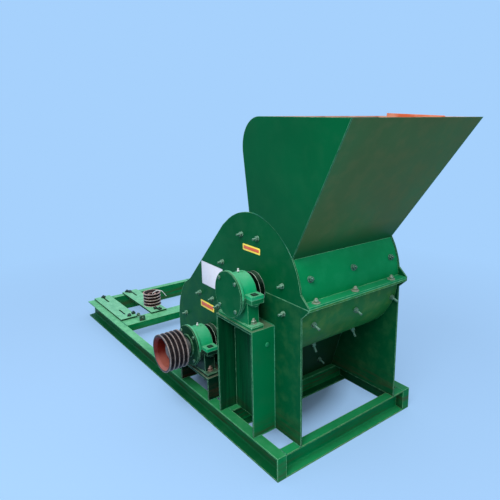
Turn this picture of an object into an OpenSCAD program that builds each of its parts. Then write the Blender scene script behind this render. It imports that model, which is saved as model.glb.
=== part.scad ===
// Two-rotor sand making crusher on a channel skid, in millimetres, +Z up.
// Lengths along the skid are counted from its motor end; put_in_place() then moves the
// origin to the middle of the machine's footprint box, on the floor.

/* [Skid frame] */
// Length of the skid along X
frame_l = 2600; // [2400:10:3200]
// How far the skid's long channels reach out of the side plates of the crushing body
skid_out = 139; // [136:1:180]
// Height of the rolled channel
channel_h = 126; // [100:1:130]
// Flange width of the rolled channel
flange_w = 53; // [45:1:65]
// Web thickness of the rolled channel
web_t = 5.5; // [4:0.5:8]
// Mean flange thickness of the rolled channel
flange_t = 9; // [7:0.5:12]
// Radius between the channel's web and flanges
root_r = 9; // [5:0.5:12]
// Thickness of the plates that close the long channels at the front
end_plate_t = 6; // [4:1:10]

/* [Motor bay] */
// Distance from the motor end to the front of the motor cross beam
motor_bay_l = 694; // [680:2:800]
// Length of the near motor slide rail
near_rail_l = 590; // [540:5:620]
// Length of the far motor slide rail
far_rail_l = 600; // [540:5:620]
// Width of a motor slide rail
rail_w = 128; // [100:2:150]
// Thickness of a motor slide rail
rail_t = 14; // [10:1:20]
// Distance of the near rail's middle line from the outside of the near long channel
near_rail_in = 116; // [100:1:140]
// Distance between the two rails' middle lines
rail_pitch = 241; // [220:1:260]
// Distance between the two slots of a rail
slot_pitch = 345; // [300:5:360]
// Length of a slot from end to end
slot_l = 122; // [90:1:150]
// Width of a slot
slot_w = 13; // [11:1:20]

/* [Crushing body] */
// Width of the body over its side plates
body_w = 692; // [640:2:740]
// Thickness of the side plates
plate_t = 8; // [6:1:12]
// Thickness of the rolled shells
shell_t = 8; // [6:1:12]
// How far the shells lie inside the side plates' edges
shell_inset = 6; // [3:1:12]
// Radius of the side plates round the upper rotor; the skid's front end touches it
crown_r = 375; // [360:1:400]
// Height of the upper rotor's axis, which is also the body's split line
upper_z = 836; // [800:2:900]
// How far the rotors' axes stand in front of the middles of the rounds behind them
axis_lead = 20; // [0:1:40]
// Direction, about the crown's middle, in which the round crown turns into a straight line
shoulder_angle = 126; // [110:0.5:130]
// Angle of the straight back to the floor
slope_angle = 45.5; // [44:0.5:52]
// How far the straight back stands off the crown's circle
slope_gap = 4; // [2:1:30]
// Angle to the floor of the neck over the round back
neck_angle = 32.5; // [25:0.5:40]
// How far under the split line the neck begins
neck_drop = 126; // [60:1:150]
// Distance of the lower rotor's axis behind the upper rotor's
rotor_gap_x = 433; // [420:1:460]
// Height of the lower rotor's axis
lower_z = 410; // [400:2:430]
// Radius of the round back of the lower body
back_r = 390; // [380:2:400]
// Lean from the upright of the plate that closes the lower chamber at the front
throat_lean = 19; // [12:1:24]

/* [Joint flange] */
// How far the joint flange reaches out of the front shell
joint_d = 54; // [40:1:70]
// Thickness of each half of the joint flange
joint_t = 11; // [6:1:14]
// Height of the side plates' ears beside the joint flange
ear_h = 44; // [30:1:60]

/* [Hopper] */
// Height of the hopper's rim above the floor
rim_z = 1668; // [1600:2:2000]
// Width of the hopper over the front end of its rim
rim_w = 854; // [760:2:900]
// How far the rim reaches past the upper rotor's axis
rim_reach = 714; // [600:1:860]
// Angle of the front wall's foot about the crown's middle
foot_angle = 33.8; // [30:0.2:42]
// How far the back wall stands behind the upper rotor's axis
back_offset = 42; // [30:1:70]
// Radius of the rolled top of the back wall
hood_r = 170; // [100:5:220]
// Thickness of the hopper's walls
wall_t = 6; // [4:1:8]

/* [Bearings] */
// Distance of the bearings' middle from the side plates
bearing_out = 90; // [84:1:100]
// Width of a housing over its foot and lugs
housing_w = 70; // [60:1:80]
// Outer radius of a housing's barrel
housing_r = 98; // [90:1:104]
// How far the barrel reaches past the foot towards its cover
nose_l = 26; // [20:1:32]
// Height of the bearing's centre over its foot
centre_h = 151; // [140:1:170]
// Half length of the foot
foot_l = 146; // [140:1:156]
// Thickness of the foot under its bolt pads
foot_t = 19; // [14:1:26]
// Length of a bolt pad on the foot
pad_l = 68; // [50:1:80]
// Half length of the housing over its cap lugs
lug_l = 150; // [140:1:158]
// Length of a cap lug
lug_w = 53; // [46:1:60]
// Radius of a cover and of the flange behind it
cover_r = 115; // [108:1:120]
// Thickness of a cover
cover_t = 9; // [6:1:12]
// Thickness of the housing's flange behind the cover
flange_rim_t = 8; // [6:1:10]
// Radius of the seal ring on the side plate
seal_r = 85; // [70:1:95]
// How far the seal ring stands out of the side plate
seal_out = 28; // [18:1:34]

/* [Pedestals] */
// Width of an upper pedestal's top plate along the skid
pedestal_l = 316; // [304:2:340]
// Width of a lower pedestal's top plate along the skid
low_pedestal_l = 320; // [304:2:330]
// Thickness of a pedestal's top plate
top_plate_t = 14; // [10:1:20]
// Thickness of a pedestal's cheeks and web
cheek_t = 10; // [8:1:14]
// Distance of a pedestal's web from the side plate
web_back = 20; // [12:1:40]
// How far a pedestal stands out of the side plate
pedestal_out = 133; // [128:1:138]

/* [Rotors] */
// Swing radius of the hammers
swing_r = 270; // [250:1:280]
// Radius of a rotor disc
disc_r = 215; // [200:1:225]
// Thickness of a rotor disc
disc_t = 16; // [12:1:20]
// Number of discs on a rotor
disc_count = 6; // [4:1:7]
// Running gap between a rotor's end discs and the side plates
rotor_gap = 14; // [8:1:30]
// Radius of the circle that the hammer pins lie on
pin_circle_r = 170; // [160:1:178]
// Radius of a hammer pin
pin_r = 15; // [12:1:18]
// Width of a hammer's head across its swing
hammer_w = 78; // [60:2:90]
// Width of a hammer's arm
arm_w = 54; // [44:2:60]
// Thickness of a hammer along the shaft
hammer_t = 50; // [30:1:70]
// Radius of the shaft between the side plates
shaft_r = 55; // [52:1:60]
// Radius of the shaft in its bearings
journal_r = 45; // [41:1:48]
// Radius of the shaft's ends that carry pulleys
seat_r = 37.5; // [32:0.5:39]
// Radial clearance of a journal in its bearing
journal_gap = 0.05; // [0.02:0.01:0.1]
// Radial clearance of a pin in its discs
pin_gap = 0.25; // [0.1:0.05:0.5]

/* [Pulleys] */
// Outer diameter of a rotor pulley
pulley_d = 210; // [190:1:230]
// Outer diameter of the motor pulley
motor_pulley_d = 140; // [130:1:160]
// Number of belt grooves
groove_count = 4; // [3:1:5]
// Distance from groove to groove
groove_pitch = 25.5; // [24:0.5:26]
// Width of a groove at the pulley's outside
groove_w = 21.5; // [16:0.5:22]
// Depth of a groove
groove_d = 17; // [12:0.5:20]
// Distance from a rotor pulley's end faces to the nearest groove's middle
groove_edge = 17; // [12.5:0.5:20]
// The same distance on the motor pulley
motor_groove_edge = 13.5; // [12.5:0.5:18]
// Distance from the near pulley's outer face to the side plate
near_pulley_out = 320; // [300:1:345]
// Distance from a far pulley's outer face to the side plate
far_pulley_out = 284; // [283:1:345]
// Depth of a pulley's hub and shaft end under its outer face
hub_depth = 45; // [30:1:50]

/* [Hidden] */

$fn = 96;
NEAR = -1;
FAR = 1;
big = 4000;
green = "#0c6f49";
iron = "#2f3030";
raw_iron = "#8a6a60";

half_body = body_w / 2;
half_w = half_body + skid_out;
near_rail_y = half_w - near_rail_in;
inner_half = half_body - plate_t;
front_x = frame_l;
crown_cx = front_x - crown_r;
upper_x = crown_cx + axis_lead;
lower_x = upper_x - rotor_gap_x;
crown_shell_r = crown_r - shell_inset;
rim_x = upper_x + rim_reach;
back_x = upper_x - back_offset;

// The front wall's outer line runs from the front shell's top edge to the rim
foot_x = crown_cx + crown_shell_r * cos(foot_angle);
foot_z = upper_z + crown_shell_r * sin(foot_angle);
front_lean = atan2(rim_x - foot_x, rim_z - foot_z);
wall_run = wall_t / cos(front_lean);
foot_inner_r = crown_shell_r - wall_t / cos(front_lean + foot_angle);

// The side walls lean out from the chord between the crown's top and the front wall's foot:
// the chord's normal, and the distances of the chord and the rim's front corner along it
fold_dir = (90 + foot_angle) / 2;
fold_dist = crown_r * cos(90 - fold_dir);
rim_dist = (rim_x - crown_cx) * cos(fold_dir) + (rim_z - upper_z) * sin(fold_dir);
fold_y = half_body - 2;
side_run = (rim_w / 2 - fold_y) / (rim_dist - fold_dist);

// Where the straight back meets the split line
split_x = crown_cx - (crown_r + slope_gap) / sin(slope_angle);
back_cx = lower_x - axis_lead;
back_edge_x = back_cx - back_r;

bearing_y = half_body + bearing_out;
housing_in = bearing_y - housing_w / 2;
housing_out = bearing_y + housing_w / 2;
cover_in = housing_out + nose_l;
pulley_w = (groove_count - 1) * groove_pitch + 2 * groove_edge;
near_face_y = half_body + near_pulley_out;
far_face_y = half_body + far_pulley_out;
stub_end_y = cover_in - 6;
rotor_half = inner_half - rotor_gap;
disc_pitch = (2 * rotor_half - disc_t) / (disc_count - 1);
pin_count = 4;

// ---------- helpers ----------

module put_in_place() { translate([-rim_x / 2, 0, 0]) children(); }

// Extrudes an outline drawn in X and Z along Y, from y1 to y2
module across(y1, y2) {
    translate([0, max(y1, y2), 0]) rotate([90, 0, 0]) linear_extrude(height = abs(y2 - y1)) children();
}

// Extrudes an outline drawn in Y and Z along X, from x1 to x2
module along(x1, x2) {
    translate([x1, 0, 0]) rotate([90, 0, 90]) linear_extrude(height = x2 - x1) children();
}

// A plate on one side of the body, from its inner face at y to its outer face at y + t
module side_plate(side, y, t) {
    if (side == NEAR) across(-y - t, -y) children();
    else across(y, y + t) children();
}

// Turns a half section of radius and distance from the skid's middle about the Y axis
module turned(side) { rotate([side > 0 ? -90 : 90, 0, 0]) rotate_extrude() children(); }

// Half planes of X and Z
module above(z) { translate([-big / 2, z]) square([2 * big, big]); }
module below(z) { translate([-big / 2, z - big]) square([2 * big, big]); }
module behind(x) { translate([x - big, -big / 2]) square([big, 2 * big]); }

// All that lies on one side of the level plane through the origin
module half_space(up) { translate([-big / 2, -big / 2, up ? 0 : -big]) cube(big); }

// Unit vector at an angle, and the point where two lines meet that are given by the
// direction of their normals and their distance from the origin
function unit(a) = [cos(a), sin(a)];
function meet(a1, d1, a2, d2) =
    [d1 * sin(a2) - d2 * sin(a1), d2 * cos(a1) - d1 * cos(a2)] / sin(a2 - a1);

// A wedge of directions between two angles, seen from the origin
module wedge(a1, a2) {
    reach = 1000;
    mid = (a1 + a2) / 2;
    polygon([[0, 0], reach * unit(a1), 1.6 * reach * unit(mid), reach * unit(a2)]);
}

// A ring sector between two angles
module arc_band(r, t, a1, a2) {
    intersection() {
        difference() {
            circle(r);
            circle(r - t);
        }
        wedge(a1, a2);
    }
}

// Mirrors an outline, or a solid, that is drawn for the far side or for +X
module scale_side(side) {
    if (side == NEAR) mirror([1, 0]) children();
    else children();
}

// ---------- rolled channel ----------

// Section with its web on the Y axis and its flanges towards +X: the flanges taper towards
// their tips and run into the web in a round
taper = atan(0.1);
flange_root_t = flange_t + (flange_w - web_t) / 2 * tan(taper);
flange_tip_t = flange_t - (flange_w - web_t) / 2 * tan(taper);
module channel_section() {
    half = (90 + taper) / 2;
    reach = root_r / tan(half);
    corner = [web_t, flange_root_t];
    on_web = corner + [0, reach];
    on_flange = corner + reach * unit(-taper);
    middle = corner + root_r / sin(half) * unit(half - taper);
    tip = [flange_w + 1, flange_tip_t - tan(taper)];
    function flipped(p) = [p[0], channel_h - p[1]];
    difference() {
        square([flange_w, channel_h]);
        polygon([middle, on_flange, tip, flipped(tip), flipped(on_flange), flipped(middle),
            flipped(on_web), on_web]);
        translate(middle) circle(root_r);
        translate(flipped(middle)) circle(root_r);
    }
}

// A long channel along X with its flanges outwards and a plate over its front end
module long_channel(side) {
    color(green) {
        along(0, front_x - end_plate_t) translate([side * (half_w - flange_w), 0]) scale_side(side)
            channel_section();
        along(front_x - end_plate_t, front_x) translate([side * (half_w - flange_w), 0]) scale_side(side)
            square([flange_w, channel_h]);
    }
}

// A channel across the skid with its web at x and its flanges towards +X or -X
cross_half = half_w - flange_w;
module cross_channel(x, dir) {
    color(green) across(-cross_half, cross_half) translate([x, 0]) scale_side(dir) channel_section();
}

body_front_x = upper_x - pedestal_l / 2 - 6;
module near_long_channel() long_channel(NEAR);
module far_long_channel() long_channel(FAR);
module front_cross_channel() cross_channel(front_x - flange_w, FAR);
module rear_cross_channel() cross_channel(flange_w, NEAR);
module body_front_beam() cross_channel(body_front_x, FAR);
module body_rear_beam() cross_channel(back_edge_x + flange_w + 10, NEAR);

// The motor cross beam lies on its side, with its web on top
module motor_cross_beam() color(green) across(-cross_half, cross_half)
    translate([motor_bay_l, channel_h]) rotate(-90) mirror([0, 1]) channel_section();

// ---------- motor bay ----------

// Where the middle of a rail's first slot lies
slot_x1 = 100;

module motor_rail(y, l) {
    color(green) difference() {
        translate([0, y - rail_w / 2, channel_h]) cube([l, rail_w, rail_t]);
        for (x = [slot_x1, slot_x1 + slot_pitch]) translate([x, y, channel_h - 1]) slot();
    }
}
module slot() {
    run = slot_l - slot_w;
    linear_extrude(height = rail_t + 2) {
        translate([-run / 2, 0]) circle(d = slot_w);
        translate([run / 2, 0]) circle(d = slot_w);
        square([run, slot_w], center = true);
    }
}
module near_motor_rail() motor_rail(-near_rail_y, near_rail_l);
module far_motor_rail() motor_rail(-near_rail_y + rail_pitch, far_rail_l);

// The motor's own pulley lies loose on the far rail, on its face
loose_pulley_x = 434;
loose_pulley_aside = 19;
module motor_pulley() color(raw_iron)
    translate([loose_pulley_x, -near_rail_y + rail_pitch + loose_pulley_aside, channel_h + rail_t])
        pulley_solid(motor_pulley_d, bore_r = 21, hub_r = 33, edge = motor_groove_edge, hub_depth = 14);

// ---------- pulleys ----------

// Half section of one belt groove, its middle at height 0
module groove_section(r) {
    floor_w = groove_w - 2 * groove_d * tan(19);
    polygon([[r + 1, -groove_w / 2 - 0.35], [r + 1, groove_w / 2 + 0.35], [r - groove_d, floor_w / 2],
        [r - groove_d, -floor_w / 2]]);
}

// A grooved pulley from z = 0 to its width, dished on its upper face, with a bored hub that
// ends at a given depth under that face; the dish flares out towards its mouth
module pulley_solid(d, bore_r, hub_r, edge, hub_depth) {
    r = d / 2;
    w = (groove_count - 1) * groove_pitch + 2 * edge;
    dish_r = r - groove_d - 8;
    mouth_r = r - 10;
    flare_h = 14;
    web = 20;
    rotate_extrude() difference() {
        translate([bore_r, 0]) square([r - bore_r, w]);
        for (i = [0 : groove_count - 1]) translate([0, edge + i * groove_pitch]) groove_section(r);
        polygon([[hub_r, w - hub_depth], [hub_r + 3, web], [dish_r - 6, web], [dish_r, w - flare_h],
            [mouth_r, w], [mouth_r, w + 1], [bore_r - 1, w + 1], [bore_r - 1, w - hub_depth]]);
    }
}

// A pulley on a shaft, its outer face at the distance given from the skid's middle
module shaft_pulley(side, x, z, face_y) {
    color(iron) translate([x, side * (face_y - pulley_w), z]) rotate([side > 0 ? -90 : 90, 0, 0])
        pulley_solid(pulley_d, bore_r = seat_r, hub_r = 52, edge = groove_edge, hub_depth = hub_depth);
}
module upper_pulley() shaft_pulley(FAR, upper_x, upper_z, far_face_y);
module lower_near_pulley() shaft_pulley(NEAR, lower_x, lower_z, near_face_y);
module lower_far_pulley() shaft_pulley(FAR, lower_x, lower_z, far_face_y);

// ---------- body ----------

// Region behind and under the crown's edge, that edge moved inwards by inset: a circle, a
// tangent from its shoulder, and the straight back
module crown_region(inset) {
    r = crown_r - inset;
    back = r + slope_gap;
    translate([crown_cx, upper_z]) {
        circle(r);
        polygon([[0, -50], [0, 0], r * unit(shoulder_angle),
            meet(shoulder_angle, r, 90 + slope_angle, back), meet(90 + slope_angle, back, 270, 50)]);
    }
}
// Corner where the straight back turns into the neck, moved inwards by inset
function neck_corner(inset) = [split_x - neck_drop / tan(slope_angle), upper_z - neck_drop]
    + meet(90 + slope_angle, -inset, 90 + neck_angle, -inset);

// Region from the lower body's back edge, that edge moved inwards by inset, to a front edge
module base_region(inset, front) {
    top_z = upper_z + 100;
    intersection() {
        translate([back_cx, lower_z]) circle(back_r - inset);
        translate(neck_corner(inset)) rotate(neck_angle) translate([-big / 2, -big]) square(big);
    }
    polygon([[back_edge_x + inset, -inset], [front, -inset], [front, top_z],
        neck_corner(inset) + (top_z - neck_corner(inset)[1]) * [1 / tan(slope_angle), 1], neck_corner(inset),
        [back_cx, lower_z], [back_edge_x + inset, lower_z]]);
}

module base_height() { translate([0, channel_h]) square([flange_x, upper_z - channel_h]); }

// Beside each half of the joint flange the side plates run out in an ear
flange_x = front_x - shell_inset + joint_d;
module upper_ear() {
    root = 20;
    top_z = upper_z + joint_t + ear_h;
    polygon([[front_x - root, upper_z - 10], [flange_x, upper_z - 10], [flange_x, upper_z + joint_t],
        [front_x - 2, top_z], [front_x - root, top_z]]);
}
module under_lower_ear() polygon([[front_x, 0], [flange_x + 1, 0], [flange_x + 1, upper_z - joint_t],
    [flange_x, upper_z - joint_t], [front_x, upper_z - joint_t - ear_h]]);

module base_outline() difference() {
    intersection() {
        base_region(0, flange_x);
        base_height();
    }
    under_lower_ear();
}
module crown_outline() intersection() {
    union() {
        crown_region(0);
        upper_ear();
    }
    above(upper_z);
}

module shaft_holes() {
    translate([upper_x, upper_z]) circle(journal_r + 4);
    translate([lower_x, lower_z]) circle(journal_r + 4);
}

module lower_side_plate(side) color(green) side_plate(side, inner_half, plate_t) difference() {
    base_outline();
    shaft_holes();
}
module upper_side_plate(side) color(green) side_plate(side, inner_half, plate_t) difference() {
    crown_outline();
    shaft_holes();
}
module near_lower_side_plate() lower_side_plate(NEAR);
module far_lower_side_plate() lower_side_plate(FAR);
module near_upper_side_plate() upper_side_plate(NEAR);
module far_upper_side_plate() upper_side_plate(FAR);

// One half of the joint flange, level between the side plates, welded to its shell
flange_lap = 3;
module joint_flange(up) {
    x1 = front_x - shell_inset - flange_lap;
    translate([x1, -inner_half, up ? upper_z : upper_z - joint_t])
        cube([flange_x - x1, 2 * inner_half, joint_t]);
}

module front_upper_shell() color(green) {
    across(-inner_half, inner_half) translate([crown_cx, upper_z])
        arc_band(crown_shell_r, shell_t, 0, foot_angle);
    joint_flange(true);
}

// Region behind the front of the casing under the split line: the round of the upper
// chamber, and the leaning front of the lower one, which stands on the body's front beam
module casing_region(inset) {
    translate([crown_cx, upper_z]) circle(crown_r - inset);
    translate([body_front_x + flange_w / 2, channel_h]) rotate(-throat_lean)
        translate([-big - inset, -big / 2]) square(big);
}
module front_lower_shell() color(green) {
    across(-inner_half, inner_half) intersection() {
        difference() {
            casing_region(shell_inset);
            casing_region(shell_inset + shell_t);
        }
        base_height();
    }
    joint_flange(false);
}

module rear_upper_shell() color(green) across(-inner_half, inner_half) intersection() {
    difference() {
        crown_region(shell_inset);
        crown_region(shell_inset + shell_t);
    }
    above(upper_z);
    behind(back_x);
}

module rear_lower_shell() color(green) across(-inner_half, inner_half) intersection() {
    difference() {
        base_region(shell_inset, flange_x + 1);
        base_region(shell_inset + shell_t, flange_x + 1);
    }
    base_height();
}

// ---------- hopper ----------

// Outline of the hopper's sides in X and Z: they stand on the side plates' round edges
module hopper_side_outline() {
    difference() {
        polygon([[back_x, upper_z], [back_x, rim_z], [rim_x, rim_z], [foot_x, foot_z],
            [foot_x - (foot_z - upper_z) * tan(front_lean), upper_z]]);
        translate([crown_cx, upper_z]) circle(crown_r);
        difference() {
            translate([back_x - 1, rim_z - hood_r]) square(hood_r + 1);
            translate([back_x + hood_r, rim_z - hood_r]) circle(hood_r);
        }
    }
}

// Extrudes an outline, of Y and of the distance from the crown's middle, along the fold line
module along_fold() {
    translate([crown_cx, 0, upper_z]) rotate([0, 90 - fold_dir, 0]) along(-rim_x / 2, rim_x / 2) children();
}
fold_reach = [fold_dist - 100, rim_dist + 100];
function side_y(dist) = fold_y + (dist - fold_dist) * side_run;

module hopper_side_wall(side) {
    color(green) intersection() {
        along_fold() scale_side(side) polygon([[side_y(fold_reach[0]) - wall_t, fold_reach[0]],
            [side_y(fold_reach[0]), fold_reach[0]], [side_y(fold_reach[1]), fold_reach[1]],
            [side_y(fold_reach[1]) - wall_t, fold_reach[1]]]);
        across(-half_w, half_w) hopper_side_outline();
    }
}
module hopper_near_wall() hopper_side_wall(NEAR);
module hopper_far_wall() hopper_side_wall(FAR);

// All that lies between the inner faces of the two side walls
module between_side_walls() {
    low = side_y(fold_reach[0]) - wall_t;
    high = side_y(fold_reach[1]) - wall_t;
    along_fold() polygon([[-low, fold_reach[0]], [low, fold_reach[0]],
        [high, fold_reach[1]], [-high, fold_reach[1]]]);
}

module hopper_front_wall() color(green) intersection() {
    across(-half_w, half_w) polygon([[foot_x, foot_z], [rim_x, rim_z], [rim_x - wall_run, rim_z],
        [crown_cx, upper_z] + foot_inner_r * unit(foot_angle)]);
    between_side_walls();
}

// The back wall's foot stands against the cut end of the shell over the upper rotor
back_foot_z = upper_z + crown_shell_r - shell_t;
module hopper_back_wall() color(green) intersection() {
    across(-half_w, half_w) {
        translate([back_x, back_foot_z]) square([wall_t, rim_z - hood_r - back_foot_z]);
        translate([back_x + hood_r, rim_z - hood_r]) arc_band(hood_r, wall_t, 90, 180);
    }
    between_side_walls();
}

// ---------- pedestals ----------

// Two cheeks and a web under a top plate, standing on the skid, with a drain hole in the front cheek
module pedestal(side, x, l, top_z) {
    under_z = top_z - top_plate_t;
    hole_r = 8;
    color(green) difference() {
        union() {
            side_plate(side, half_body, pedestal_out) {
                translate([x - l / 2, under_z]) square([l, top_plate_t]);
                for (cx = [x - l / 2, x + l / 2 - cheek_t])
                    translate([cx, channel_h]) square([cheek_t, under_z - channel_h]);
            }
            side_plate(side, half_body + web_back, cheek_t)
                translate([x - l / 2, channel_h]) square([l, under_z - channel_h]);
        }
        translate([x + l / 2 - cheek_t - 1, side * (bearing_y - housing_w / 2 - 10), under_z - 72])
            rotate([0, 90, 0]) cylinder(h = cheek_t + 2, r = hole_r);
    }
}
upper_top_z = upper_z - centre_h;
lower_top_z = lower_z - centre_h;
module upper_near_pedestal() pedestal(NEAR, upper_x, pedestal_l, upper_top_z);
module upper_far_pedestal() pedestal(FAR, upper_x, pedestal_l, upper_top_z);
module lower_near_pedestal() pedestal(NEAR, lower_x, low_pedestal_l, lower_top_z);
module lower_far_pedestal() pedestal(FAR, lower_x, low_pedestal_l, lower_top_z);

// ---------- bearings ----------

// Half section of the barrel: a chamfered rear edge, and a hollow round up to the cover's flange
module barrel_section() {
    flange_in = cover_in - flange_rim_t;
    round_r = cover_r - housing_r;
    edge = 3;
    polygon([[0, housing_in], [housing_r - edge, housing_in], [housing_r, housing_in + edge],
        [housing_r, cover_in], [0, cover_in]]);
    translate([0, flange_in]) square([cover_r, flange_rim_t]);
    difference() {
        translate([0, flange_in - round_r]) square([cover_r, round_r]);
        translate([cover_r, flange_in - round_r]) circle(round_r);
    }
}

// One half of a housing: its half of the barrel and what is drawn for it, bored for the journal
module housing_half(side, x, z, up) {
    color(green) translate([x, 0, z]) difference() {
        union() {
            intersection() {
                turned(side) barrel_section();
                half_space(up);
            }
            children();
        }
        rotate([90, 0, 0]) cylinder(h = 2 * cover_in + 10, r = journal_r + journal_gap, center = true);
    }
}

lug_mid = lug_l - lug_w / 2;
cap_lug_h = 18;
base_lug_h = 22;

// The base: a body over a foot with raised bolt pads, and lugs with round bosses under them
module bearing_base(side, x, z) {
    neck = 108;
    boss_r = lug_w / 2 - 2;
    pad_h = 5;
    housing_half(side, x, z, false) {
        side_plate(side, housing_in + 4, housing_w - 8) polygon([[-neck, 0], [neck, 0],
            [neck + 6, foot_t - centre_h - pad_h], [-neck - 6, foot_t - centre_h - pad_h]]);
        side_plate(side, housing_in, housing_w) {
            translate([-foot_l, -centre_h]) square([2 * foot_l, foot_t - pad_h]);
            for (s = [-1, 1]) translate([s * lug_mid - lug_w / 2, -base_lug_h]) square([lug_w, base_lug_h]);
        }
        side_plate(side, housing_in + 2, housing_w - 4) for (s = [-1, 1])
            translate([s * (foot_l - 2 - pad_l / 2) - pad_l / 2, foot_t - pad_h - centre_h])
                square([pad_l, pad_h]);
        for (s = [-1, 1]) translate([s * lug_mid, side * bearing_y, -base_lug_h - 16]) {
            translate([0, 0, 6]) cylinder(h = 12, r = boss_r);
            cylinder(h = 6, r1 = boss_r - 6, r2 = boss_r);
        }
    }
}

// The cap: lugs with a square pocket for the bolt's head, and a flat boss for the grease nipple
module bearing_cap(side, x, z) {
    pocket = 36;
    pocket_d = 8;
    boss_z = housing_r + 4;
    nipple_in = 7;
    nipple_boss_r = 11;
    housing_half(side, x, z, true) {
        difference() {
            side_plate(side, housing_in, housing_w)
                for (s = [-1, 1]) translate([s * lug_mid - lug_w / 2, 0]) square([lug_w, cap_lug_h]);
            for (s = [-1, 1]) translate([s * lug_mid, side * bearing_y, cap_lug_h + 1 - pocket_d / 2])
                cube([pocket, pocket, pocket_d + 2], center = true);
        }
        translate([0, side * (bearing_y - nipple_in), boss_z - 20]) cylinder(h = 20, r = nipple_boss_r);
    }
}

module upper_near_bearing_base() bearing_base(NEAR, upper_x, upper_z);
module upper_far_bearing_base() bearing_base(FAR, upper_x, upper_z);
module lower_near_bearing_base() bearing_base(NEAR, lower_x, lower_z);
module lower_far_bearing_base() bearing_base(FAR, lower_x, lower_z);
module upper_near_bearing_cap() bearing_cap(NEAR, upper_x, upper_z);
module upper_far_bearing_cap() bearing_cap(FAR, upper_x, upper_z);
module lower_near_bearing_cap() bearing_cap(NEAR, lower_x, lower_z);
module lower_far_bearing_cap() bearing_cap(FAR, lower_x, lower_z);

// A cover on a housing's flange; an open one has a collar round the shaft
module cover(side, x, z, closed) {
    edge = 1.5;
    bore_r = closed ? 0 : journal_r + 2;
    collar = closed ? 0 : 6;
    color(green) translate([x, 0, z]) turned(side) {
        polygon([[bore_r, cover_in], [cover_r, cover_in], [cover_r, cover_in + cover_t - edge],
            [cover_r - edge, cover_in + cover_t], [bore_r, cover_in + cover_t]]);
        if (!closed) translate([bore_r, cover_in]) square([18, cover_t + collar]);
    }
}

// The ring that closes a housing towards the body
back_ring_t = 7;
module back_ring(side, x, z) {
    color(green) translate([x, 0, z]) side_plate(side, housing_in - back_ring_t, back_ring_t) difference() {
        circle(seal_r);
        circle(journal_r + 2);
    }
}
module bearing_covers() {
    for (side = [NEAR, FAR]) {
        cover(side, upper_x, upper_z, side == NEAR);
        cover(side, lower_x, lower_z, false);
        back_ring(side, upper_x, upper_z);
        back_ring(side, lower_x, lower_z);
    }
}

module shaft_seals() color(green) for (side = [NEAR, FAR], p = [[upper_x, upper_z], [lower_x, lower_z]])
    translate([p[0], 0, p[1]]) side_plate(side, half_body, seal_out) difference() {
        circle(seal_r);
        circle(journal_r + 2);
    }

// ---------- rotors ----------

// A cylinder along Y from y1 to y2
module bar(r, y1, y2) { translate([0, y2, 0]) rotate([90, 0, 0]) cylinder(h = y2 - y1, r = r); }

// A stepped shaft; its journal ends in the bearing where it carries no pulley, and else just
// behind the pulley on its seat
module half_shaft(side, pulley, face_y) {
    journal_end = pulley ? face_y - pulley_w - 6 : stub_end_y;
    turned(side) {
        square([shaft_r, rotor_half]);
        square([journal_r, journal_end]);
        if (pulley) square([seat_r, face_y - hub_depth + 4]);
    }
}
module upper_shaft() color(iron) translate([upper_x, 0, upper_z]) {
    half_shaft(NEAR, false, 0);
    half_shaft(FAR, true, far_face_y);
}
module lower_shaft() color(iron) translate([lower_x, 0, lower_z]) {
    half_shaft(NEAR, true, near_face_y);
    half_shaft(FAR, true, far_face_y);
}

function disc_y(i) = -rotor_half + i * disc_pitch;
function pin_place(a) = pin_circle_r * [cos(a * 360 / pin_count), sin(a * 360 / pin_count)];

// The discs, each bored for the shaft and the hammer pins
module discs() {
    color(iron) for (i = [0 : disc_count - 1]) across(disc_y(i), disc_y(i) + disc_t) difference() {
        circle(disc_r);
        circle(shaft_r);
        for (a = [0 : pin_count - 1]) translate(pin_place(a)) circle(pin_r + pin_gap);
    }
}

// Outline of a hammer that points along +X from the pin's middle: eye, arm and wide head
module hammer_outline() {
    eye_r = 34;
    head_l = 52;
    tip = sqrt(swing_r * swing_r - hammer_w * hammer_w / 4) - pin_circle_r;
    circle(eye_r);
    translate([0, -arm_w / 2]) square([tip - 10, arm_w]);
    polygon([[tip - head_l - 12, -arm_w / 2], [tip - head_l, -hammer_w / 2], [tip, -hammer_w / 2],
        [tip, hammer_w / 2], [tip - head_l, hammer_w / 2], [tip - head_l - 12, arm_w / 2]]);
}

// Pins with a hammer in every other bay between two discs, pin by pin in turn
module hammers() {
    for (a = [0 : pin_count - 1]) color(raw_iron)
        rotate([0, -a * 360 / pin_count, 0]) translate([pin_circle_r, 0, 0]) {
            bar(pin_r, -rotor_half, rotor_half);
            for (i = [a % 2 : 2 : disc_count - 2]) {
                mid = disc_y(i) + (disc_pitch + disc_t) / 2;
                across(mid - hammer_t / 2, mid + hammer_t / 2) hammer_outline();
            }
        }
}
upper_turn = 20;
lower_turn = 60;
module upper_discs() translate([upper_x, 0, upper_z]) rotate([0, upper_turn, 0]) discs();
module upper_hammers() translate([upper_x, 0, upper_z]) rotate([0, upper_turn, 0]) hammers();
module lower_discs() translate([lower_x, 0, lower_z]) rotate([0, lower_turn, 0]) discs();
module lower_hammers() translate([lower_x, 0, lower_z]) rotate([0, lower_turn, 0]) hammers();

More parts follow.
